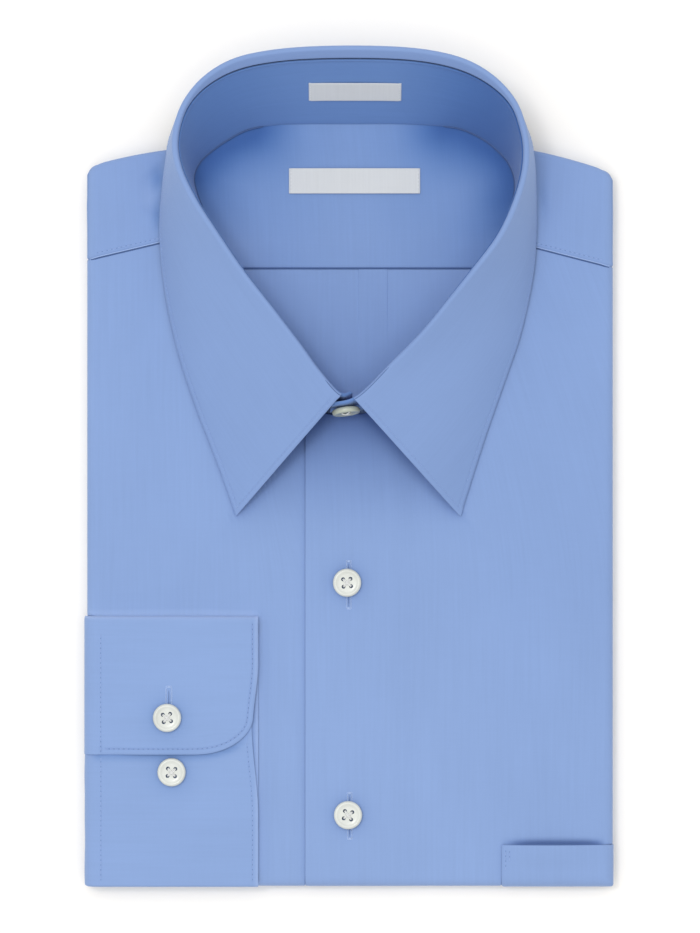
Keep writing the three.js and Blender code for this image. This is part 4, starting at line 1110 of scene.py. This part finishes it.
BLUE = (0.213, 0.318, 0.576)
BAND_SHADE_BLUE = (0.135, 0.243, 0.51)  # the band's cloth, darker and bluer as painted shade inside the collar
body_cloth = cloth_material("body_cloth", BLUE)
# the fronts' painted shade is greyer
front_cloth = cloth_material("front_cloth", BLUE, deep=(0.6, 0.66, 0.775))
# the collar's cloth, a little darker than BLUE as painted shade on the tilted leaves
shaded_collar_cloth = cloth_material("shaded_collar_cloth", (0.206, 0.309, 0.565), streaks=0.016, warp_first=True)
shaded_band_cloth = cloth_material("shaded_band_cloth", BAND_SHADE_BLUE, warp_first=True)
# the cuff's cloth, a little lighter than BLUE as painted light
cuff_cloth = cloth_material("cuff_cloth", (0.226, 0.335, 0.595), streaks=0.018)
label_cloth = cloth_material("label_cloth", (0.60, 0.62, 0.64), sheen=0.1, weave=0.6)
thread = thread_material("thread", (0.285, 0.40, 0.665))
worked_thread = thread_material("worked_thread", (0.40, 0.53, 0.80))
leaf_thread = thread_material("leaf_thread", (0.24, 0.35, 0.61))
# the colour of dark strands that are painted shadow along seams
seam_shadow_strand = thread_material("seam_shadow_strand", (0.07, 0.12, 0.27), 0.8, 0.1)
# the buttonhole slits' dark strands, painted shade in the slits
slit_shade_strand = thread_material("buttonhole_slit_shade", (0.09, 0.14, 0.30), 0.7, 0.2, 0.1)
button_thread = thread_material("button_thread", (0.72, 0.73, 0.72), 0.55, 0.4, 0.06)
# dark strands as painted shade in the needle holes
hole_shade_strand = thread_material("stitch_hole_shade", (0.15, 0.235, 0.45), 0.8, 0.1)
label_thread = thread_material("label_thread", (0.74, 0.76, 0.78), 0.6, 0.3, 0.05)
resin = resin_material("button_resin", (0.61, 0.63, 0.59))
# a darker copy of the buttons' resin: painted shade on the collar button
shaded_resin = resin_material("collar_button_resin", (0.40, 0.43, 0.36))

# The pieces
leaf_points = leaf_grid()
under_front = piece("front_right", front_right(), front_cloth, 0.18)
over_front = piece("front_left", front_left(), front_cloth, 0.3)
yoke_piece = piece("yoke", several([yoke_under(), yoke_strip(-1), yoke_strip(1)]), body_cloth, 0.25)
back_piece = piece("back", back(), body_cloth, 0.18)
pocket_piece = piece("pocket", pocket(), front_cloth, 0.2)
sleeve_piece = piece("sleeve", sleeve(), body_cloth, 0.15)
cuff_piece = piece("cuff", cuff(), cuff_cloth, 0.28, "_cloth_piece")
band_piece = piece("collar_band", collar_band(), shaded_band_cloth, 0.25)
leaf_piece = piece("collar_leaf", collar_leaf(leaf_points), shaded_collar_cloth, 0.3)
collar_tape = piece("collar_label", collar_label(), label_cloth, 0.1, "_tape")
piece("neck_label", neck_label(), label_cloth, 0.1, "_tape")

# Where the cloth has painted shade: 0 is the plain colour, 1 is a colour times deep, and less than 0 is
# painted light
NECK_SEAM = catmull(BAND_FEET, np.linspace(0, 1, 240))[:, :2]
# painted light, the same over the whole pocket
POCKET_LIGHT = -0.14
# the heights in y at which the yoke's painted shade is listed, broad and beside the band's foot
SHADE_BY_Y = [80, 92, 100, 110, 120, 130]
SIDE_SHADE_BY_Y = [76, 90, 98.5, 108.7, 117, 130]
# painted shade in the hollows of the shoulders' puckers, painted light where the depth is below 0: x, y,
# width, height and depth
PUCKER_SHADES = [
    (-78.2, 117.5, 3.2, 5.0, 0.9), (-81, 110, 2.5, 4.0, -0.2),
    (-78.4, 102.5, 2.2, 6.0, 0.8), (78.8, 109, 2.0, 9.0, 0.3),
]


def from_neck_seam(x, y):
    """How far in plan a point lies from the band's foot."""
    flat = np.stack([x, y], 1)
    parts = np.array_split(flat, len(flat) // 4000 + 1)
    return np.concatenate([np.linalg.norm(p[:, None] - NECK_SEAM[None], axis=2).min(1) for p in parts])


def inside_neck(x, y):
    """The painted shade on the yoke: broad inside the collar, deepest beside the band's foot at the
    shoulders.
    """
    away = from_neck_seam(x, y) + 0.8 * np.sin(x / 5.3) * np.sin(y / 4.1)
    broad = np.interp(y, SHADE_BY_Y, [0.33, 0.33, 0.42, 0.52, 0.68, 0.8])
    broad = broad * (0.6 + 0.4 * smooth(np.abs(x) / 35))
    left = np.interp(y, SIDE_SHADE_BY_Y, [-0.3, -0.25, 0.2, 0.75, 1.25, 1.25])
    right = np.interp(y, SIDE_SHADE_BY_Y, [0.0, 0.45, 1.0, 1.3, 1.3, 1.25])
    return broad + np.where(x < 0, left, right) * bell(away, 14) * smooth((np.abs(x) - 15) / 25)


def on_yoke(x, y, z):
    """Painted shade inside the neck, and in the hollows of the puckers on the shoulders beside the collar."""
    hollows = sum(deep * bell(x - px, wide) * bell(y - py, high) for px, py, wide, high, deep in PUCKER_SHADES)
    return np.where(z < YOKE_TOP + 0.7, inside_neck(x, y), hollows)


def on_back(x, y, z):
    """Painted shade over the back, giving way to painted light beside the leaf's folded edges."""
    return 0.12 - 0.42 * bell(from_neck_seam(x, y), 5)


# painted shade on the band's inner face, deeper toward its sides and most on the right
def on_band_inside(x, y, z):
    return 0.22 + smooth((np.abs(x) - 12) / 50) * np.where(x > 0, 1.19, 0.58)


def under_closing(x, y):
    """The painted shade between the collar's two points, deepest under the closing and beside the leaf, over
    painted light that grows toward the bottom and fades toward the right.
    """
    left = 0.758 * (x + 3.6) - 0.652 * (y - 29.5)
    right = -0.742 * (x - 2.2) - 0.670 * (y - 27.0)
    inside = np.minimum(left, right)
    deep = np.interp(y, [-34, -24, -13.7, -1.4, 8.8, 16.9, 24], [0, 0.08, 0.3, 0.6, 0.93, 1.3, 1.5])
    edge = 0.5 * bell(np.maximum(inside, 0), 2.8) * smooth((y + 24) / 8)
    # painted light, stronger toward the bottom and weaker toward the right
    open_light = -0.05 - 0.12 * smooth((-30 - y) / 90) + 0.07 * smooth((x - 30) / 50)
    return (deep + edge) * smooth((inside + 2.5) / 2) + open_light


def beside_cuff(x, y, z):
    """The painted shade on the right front, and the painted light beside the cuff's thin edges."""
    above = 0.85 * bell(y - CUFF_TOP_Y, 1.2) + 0.22 * bell(y - CUFF_TOP_Y, 4)
    aside = 0.7 * bell(x - HAND_END + 0.2, 1.3)
    lit = above * smooth((HAND_END + 1 - x) / 3) + aside * smooth((CUFF_TOP_Y + 1 - y) / 3)
    return under_closing(x, y) - lit


def at_mouth(x, y, z):
    """The painted shade on the left front, with the pocket's mouth and the buttons."""
    inside = smooth((x - POCKET_LEFT + 1) / 9) * smooth((INNER_X + 2 - x) / 4)
    mouth = 1.3 * inside * bell(y - POCKET_TOP - 0.5, 1.5)
    return under_closing(x, y) + mouth + 0.42 * round_buttons(x, y, BUTTONS, SHADE_WIDE)


def at_overlap(x, y, z):
    """The painted shadow of the cuff's overlap on the layer under it, and painted shade round its buttons.
    Its edges get painted light.
    """
    under = z < FRONT_TOP + GAP + CUFF_UNDER[1] + 0.4
    between = smooth((x + 106) / 4) * smooth((HAND_END - 3 - x) / 8)
    wide = np.clip((x - CORNER_X) / CORNER_ACROSS, 0, 0.97)
    edge = OVERLAP_END + CORNER_UP * (1 - np.sqrt(1 - wide**2))
    lit = 0.9 * bell(y - CUFF_TOP_Y, 1.0) + 0.4 * bell(x - HAND_END + 0.5, 0.8)
    shadow = 0.7 * under * between * bell(y - edge + 0.6, 1.5)
    return 0.42 * round_buttons(x, y, BUTTONS, SHADE_WIDE) + shadow - lit


shaded(yoke_piece, on_yoke)
shaded(back_piece, on_back)
shaded(band_piece, on_band_inside)
shaded(over_front, at_mouth)
shaded(under_front, beside_cuff)
shaded(cuff_piece, at_overlap)
shaded(pocket_piece, lambda x, y, z: POCKET_LIGHT)


def stack_piece():
    """The folded layers: their sides ring above ring, closed by a flat cap below and above."""
    points, sides, count = folded_layers()
    name = "folded_layers_cloth"
    caps = [list(range(count))[::-1], list(range(len(points) - count, len(points)))]
    mesh = new_mesh(name, points, sides + caps, body_cloth)
    around = np.concatenate([[0], np.cumsum(np.linalg.norm(np.diff(points[:count], axis=0), axis=1))])
    set_coordinates(mesh, np.stack([around[np.arange(len(points)) % count], points[:, 2] * 1.6], 1))
    work = bmesh.new()
    work.from_mesh(mesh)
    uv = work.loops.layers.uv["cloth"]
    flat = [face for face in work.faces if len(face.verts) > 4]
    for face in bmesh.ops.triangulate(work, faces=flat)["faces"]:
        for loop in face.loops:
            loop[uv].uv = (loop.vert.co.x, loop.vert.co.y)
    bmesh.ops.recalc_face_normals(work, faces=work.faces)
    work.to_mesh(mesh)
    work.free()
    mesh.set_sharp_from_angle(angle=math.radians(50))
    return settled(name, mesh, ["folded_layers"])


stack = stack_piece()

# Buttons, each sewn on with crossed thread
BUTTON_PROFILE = [
    (0, 0), (4.6, 0), (5.2, 0.2), (5.6, 0.62), (5.78, 1.15), (5.74, 1.7), (5.5, 2.2), (5.1, 2.48),
    (4.75, 2.5), (4.5, 2.44), (4.2, 2.32), (3.8, 2.2), (3.2, 2.12), (2.4, 2.08), (1.2, 2.08), (0, 2.1),
]
BUTTON_SIDES = 72
HOLE_RADIUS = 0.8
HOLE_OUT = 2.15
HOLE_PLACES = [(HOLE_OUT * math.cos(a), HOLE_OUT * math.sin(a)) for a in np.radians([45, 135, 225, 315])]


def drill(place):
    work = bmesh.new()
    radius = HOLE_RADIUS * MM
    bmesh.ops.create_cone(work, cap_ends=True, segments=20, radius1=radius, radius2=radius, depth=8 * MM)
    bmesh.ops.translate(work, verts=work.verts, vec=(place[0] * MM, place[1] * MM, 0))
    mesh = bpy.data.meshes.new("drill")
    work.to_mesh(mesh)
    work.free()
    return new_object("drill", mesh)


def button_mesh():
    work = bmesh.new()
    rings = []
    for radius, height in BUTTON_PROFILE:
        angles = [2 * math.pi * k / BUTTON_SIDES for k in range(BUTTON_SIDES if radius else 1)]
        spots = [(radius * MM * math.cos(a), radius * MM * math.sin(a), height * MM) for a in angles]
        rings.append([work.verts.new(spot) for spot in spots])
    for low, high in zip(rings, rings[1:]):
        for k in range(BUTTON_SIDES):
            n = (k + 1) % BUTTON_SIDES
            corners = [low[k % len(low)], low[n % len(low)], high[n % len(high)], high[k % len(high)]]
            work.faces.new(list(dict.fromkeys(corners)))
    bmesh.ops.recalc_face_normals(work, faces=work.faces)
    mesh = bpy.data.meshes.new("button")
    work.to_mesh(mesh)
    work.free()
    disc = new_object("disc", mesh)
    drills = [drill(place) for place in HOLE_PLACES]
    for tool in drills:
        cut = disc.modifiers.new("hole", "BOOLEAN")
        cut.operation = "DIFFERENCE"
        cut.solver = "EXACT"
        cut.object = tool
    apply_modifiers(disc)
    made = disc.data
    for used in [*drills, disc]:
        bpy.data.objects.remove(used)
    made.materials.clear()
    made.materials.append(resin)
    made.shade_smooth()
    made.set_sharp_from_angle(angle=math.radians(38))
    return made


button_data = button_mesh()


def collar_button_place():
    """Where the collar button rests on the band's outer end, and which way it faces."""
    share = 1 - 0.59 / BAND_LAST
    foot, top = catmull(BAND_FEET, share)[0], catmull(BAND_TOPS, share)[0]
    ends = [share - 1e-4, share + 1e-4]
    ahead = [np.diff(catmull(line, ends), axis=0)[0] for line in (BAND_FEET, BAND_TOPS)]
    forward = mix(*(way / np.linalg.norm(way) for way in ahead), 0.7) * [1, 1, 0]
    normal = np.cross(top - foot, forward)
    normal *= np.sign(normal[2]) / np.linalg.norm(normal)
    return foot + (top - foot) * 0.7 + normal * (COLLAR_WALL + GAP), normal


def place_button(name, seat, normal, turn, material=resin):
    data = button_data.copy()
    data.name = name
    data.materials[0] = material
    facing = Vector(normal).to_track_quat("Z", "Y").to_matrix().to_4x4()
    matrix = Matrix.Translation(Vector(seat) * MM) @ facing @ Matrix.Rotation(math.radians(turn), 4, "Z")
    data.transform(matrix)
    settled(name + "_resin", data, [name])
    strands = []
    for pair, rise in ((0, 0.0), (1, 0.16)):
        a, b = np.array(HOLE_PLACES[pair]), np.array(HOLE_PLACES[pair + 2])
        for aside in (-0.2, 0.2):
            across = np.array([-(b - a)[1], (b - a)[0]]) / np.linalg.norm(b - a) * aside
            path = []
            for t in np.linspace(-0.08, 1.08, 11):
                x, y = mix(a, b, t) + across
                height = 2.2 + rise + 0.32 * math.sin(math.pi * min(max(t, 0), 1)) - 1.6 * (t < 0 or t > 1)
                path.append(matrix @ (Vector((x, y, height)) * MM) / MM)
            strands.append(strand(path, 0.2))
    thread_piece(name + "_thread", strands, button_thread)


for row in BUTTONS:
    place_button(row["name"], (row["x"], row["y"], row["rests"] + GAP - 0.15), (0, 0, 1), row["turn"])
place_button("collar_button", *collar_button_place(), 12, shaded_resin)

# Seams
CUFF_SEAM_X = -101.4
STITCHES_FROM = {-1: 57.5, 1: 64.0}  # where the yoke's seam comes out from under the collar
EDGE_FROM = {-1: 57.5, 1: 64.5}
FOLD_SHOWS = (9.0, 19.0)  # how much of the leaf's fold shows beside the closing, left and right


def upright(points):
    line = np.array(points, float)
    return line, np.tile([0, 0, 1], (len(line), 1))


def leaf_stitching():
    lines = []
    corners = leaf_points[[0, -1], -1]
    for axis, end in ((0, False), (0, True), (1, True)):
        line, up = inset_line(leaf_points[:, FALL_START:], axis, end, LEAF_STITCH)
        near = corners if axis else corners[[-1 if end else 0]]
        away = np.linalg.norm(line[:, None] - near[None], axis=2).min(1)
        line, up = line[away > LEAF_STITCH * 1.25], up[away > LEAF_STITCH * 1.25]
        lines.append((line + up * (COLLAR_PLY / 2 - 0.1), up))
    return all_stitches(lines)


def front_yoke_line(side):
    xs = [x for x in np.linspace(side * 60, side * (INNER_X + 0.5), 60) if abs(x) > STITCHES_FROM[side]]
    return upright([(x, float(front_seam(x)) + 1.5, STRIP_TOP) for x in xs])


def cuff_lines():
    s = CUFF_EDGE_STITCH
    level, under = (FRONT_TOP + GAP + layer[1] for layer in (CUFF_OVER, CUFF_UNDER))
    path = [(x, OVERLAP_END + s) for x in np.linspace(-100, CORNER_X, 40)]
    wide, high = CORNER_ACROSS - s, CORNER_UP - s
    for angle in np.linspace(-math.pi / 2, 0, 24)[1:]:
        path.append((CORNER_X + wide * math.cos(angle), CORNER_Y + high * math.sin(angle)))
    path += [(HAND_END - s, y) for y in np.linspace(CORNER_Y, CUFF_TOP_Y - 3, 30)[1:]]
    hand = np.linspace(OVERLAP_END + 5, BOTTOM + 2, 40)
    return [
        upright([(drawn_back(x, y, True), y, level + 0.12 + cuff_relief(x, y, True)) for x, y in path]),
        upright([(drawn_back(HAND_END - s, y, False), y, under - 0.12) for y in hand]),
        upright([(CUFF_SEAM_X, y, level - 0.02) for y in np.linspace(CUFF_TOP_Y - 7, OVERLAP_END + 1, 40)]),
        upright([(CUFF_SEAM_X, y, under - 0.02) for y in np.linspace(OVERLAP_END - 1, BOTTOM + 2, 40)]),
    ]


def pocket_line(s, low):
    u, v = POCKET_LEFT + s, np.linspace(low, POCKET_TOP - 1.2, 40)
    return upright(front_point(u, v, -(GAP + 1.0 + pocket_gape(u, v)), 0.0, OVER))


def yoke_edge(side):
    """The folded edge of the yoke along its seam with a front: a light strand as painted highlight on the
    fold, and a dark one as painted shadow below it.
    """
    xs = np.linspace(side * EDGE_FROM[side], side * (INNER_X + 3.2), 70)
    round_side = np.clip((np.abs(xs) - INNER_X) / SIDE_FOLD, 0, 1)
    drop = SIDE_FOLD * (1 - np.sqrt(1 - round_side**2)) * 0.8
    levels = ((0.12, STRIP_TOP - 0.42), (0.72, FRONT_TOP - 0.06))
    return [strand(points_at(xs, front_seam(xs) - below, level - drop), 0.3) for below, level in levels]


def fold_lines():
    """The seam along the leaf's fold, where it shows on both sides of the closing, as a dark strand: painted
    shade.
    """
    line = leaf_points[:, 10] + (COLLAR_PLY / 2 - 0.02) * grid_normals(leaf_points)[:, 10]
    made = []
    for half, reach in zip((line[:60], line[:-60:-1]), FOLD_SHOWS):
        near = half[np.linalg.norm(half - half[0], axis=1) < reach]
        made.append(strand(near, 0.15, sides=5))
    return made


def seam_shadows():
    """Dark strands as painted shadow along the seams: the yoke's over the back, and the neck seam's two
    sides.
    """
    made = [strand([(x, BACK_SEAM - 0.02, BACK_TOP + 0.12) for x in np.linspace(-60, 60, 60)], 0.42)]
    for first, last in ((0.16, 0.42), (0.58, 0.84)):
        grid = band_grid(np.linspace(first, last, 90), [0.004, 0.02])
        made.append(strand(moved(grid, 0.12)[:, 0] + [0, 0, 0.1], 0.32))
    return made + [yoke_edge(-1)[1], yoke_edge(1)[1]] + fold_lines()


def label_stitching():
    """A row of short stitches at each end of both labels."""
    made = []
    for x in (-24.1, 27.8):
        line, up = upright([(x, y, LABEL_LEVEL + 0.42) for y in np.linspace(111.6, 121.4, 30)])
        made += stitches(line, up, pitch=1.5, length=0.9, radius=0.13)
    for x in (-16.1, 20.2):
        grid = on_band([x - 0.5, x + 0.5], np.linspace(0.39, 0.64, 12))
        up = grid_normals(grid)[0]
        made += stitches(grid.mean(0) + up * 0.55, up, pitch=1.3, length=0.8, radius=0.12)
    return made


def buttonhole(x, y_low, y_high, level, wide):
    """Two worked sides and two bars round a slit."""
    made = []
    for side in (-1, 1):
        for y in np.arange(y_low, y_high, 0.34):
            a = (x + side * wide * 0.5, y, level + 0.05)
            b = (x + side * wide * 0.75, y + 0.04, level + 0.2)
            c = (x + side * wide, y + 0.08, level - 0.02)
            made.append(strand([a, b, c], 0.17, sides=4))
    for y in (y_low - 0.5, y_high + 0.3):
        for k in range(3):
            a, b, c = ((x + out * wide, y + 0.3 * k, level + up) for out, up in ((-1, 0), (0, 0.22), (1, 0)))
            made.append(strand([a, b, c], 0.17, sides=4))
    return made


body_lines = [front_yoke_line(-1), front_yoke_line(1)]
body_lines += [pocket_line(1.6, INNER_Y + 1), pocket_line(3.2, POCKET_TOP - 7)]
# the yoke edges' light strands are painted highlight on the folded edges
body_threads = all_stitches(body_lines) + [yoke_edge(-1)[0], yoke_edge(1)[0]]
thread_piece("body_stitching", body_threads, thread)
thread_piece("seam_shadow_strands", seam_shadows(), seam_shadow_strand)
cuff_seams = thread_piece("cuff_stitching", all_stitches(cuff_lines()), thread)
thread_piece("needle_hole_shades", all_stitches(body_lines + cuff_lines(), holes_between), hole_shade_strand)
collar_seams = thread_piece("collar_stitching", leaf_stitching(), leaf_thread)

# Buttonholes: the button that each is for, its two ends and half its width
holes = []
slits = []
for row, low, high, wide in (
    (BUTTONS[0], -57.6, -39.2, 1.2), (BUTTONS[1], -151.4, -133.6, 1.2), (BUTTONS[2], -106.0, -90.2, 1.5),
):
    middle, level = row["x"] + 0.7, row["rests"] - 0.12
    holes += buttonhole(middle, low, high, level, wide)
    # a dark strand in each slit: painted shade
    slits.append(strand([(middle, y, level - 0.02) for y in np.linspace(low + 0.3, high - 0.3, 12)], 0.17))
thread_piece("label_stitching", label_stitching(), label_thread)
thread_piece("buttonhole_stitching", holes, worked_thread)
thread_piece("buttonhole_slits", slits, slit_shade_strand)

# Surface, light and camera
PIXEL = 0.00041  # metres a pixel at the surface
PICTURE_HEIGHT = 933  # pixels
CAMERA_HEIGHT = 2.1
SENSOR = 36
FLOOR_HALF = 3

floor_mesh = bpy.data.meshes.new("floor")
floor_corners = [(x * FLOOR_HALF, y * FLOOR_HALF, 0) for x, y in ((-1, -1), (1, -1), (1, 1), (-1, 1))]
floor_mesh.from_pydata(floor_corners, [], [(0, 1, 2, 3)])
floor = new_object("floor", floor_mesh)
paper = Graph("paper").finished({"Base Color": (0.955, 0.93, 0.885, 1), "Roughness": 0.9})
floor_mesh.materials.append(paper)


def softbox(name, place, size, power):
    """A square lamp of a size in metres and a power in watts, aimed at the shirt's middle."""
    light = bpy.data.lights.new(name, "AREA")
    light.shape = "RECTANGLE"
    light.size = light.size_y = size
    light.energy = power
    thing = new_object(name, light)
    thing.location = place
    thing.rotation_mode = "QUATERNION"
    thing.rotation_quaternion = Vector(place).to_track_quat("Z", "Y")


softbox("overhead", (-0.2, 0.18, 2.4), 2.2, 26)
softbox("key", (-0.5, 0.3, 2.3), 0.35, 8)

world = bpy.data.worlds.new("studio")
bpy.context.scene.world = world
world.use_nodes = True
background = world.node_tree.nodes["Background"]
background.inputs["Color"].default_value = (1, 1, 1, 1)
background.inputs["Strength"].default_value = 0.74

camera_data = bpy.data.cameras.new("camera")
camera_data.sensor_width = SENSOR
camera_data.lens = SENSOR * CAMERA_HEIGHT / (PICTURE_HEIGHT * PIXEL)
camera_data.clip_end = 20
camera = new_object("camera", camera_data)
camera.location = (0, 0, CAMERA_HEIGHT)
bpy.context.scene.camera = camera
bpy.context.scene.view_settings.view_transform = "Standard"
bpy.context.scene.view_settings.look = "None"
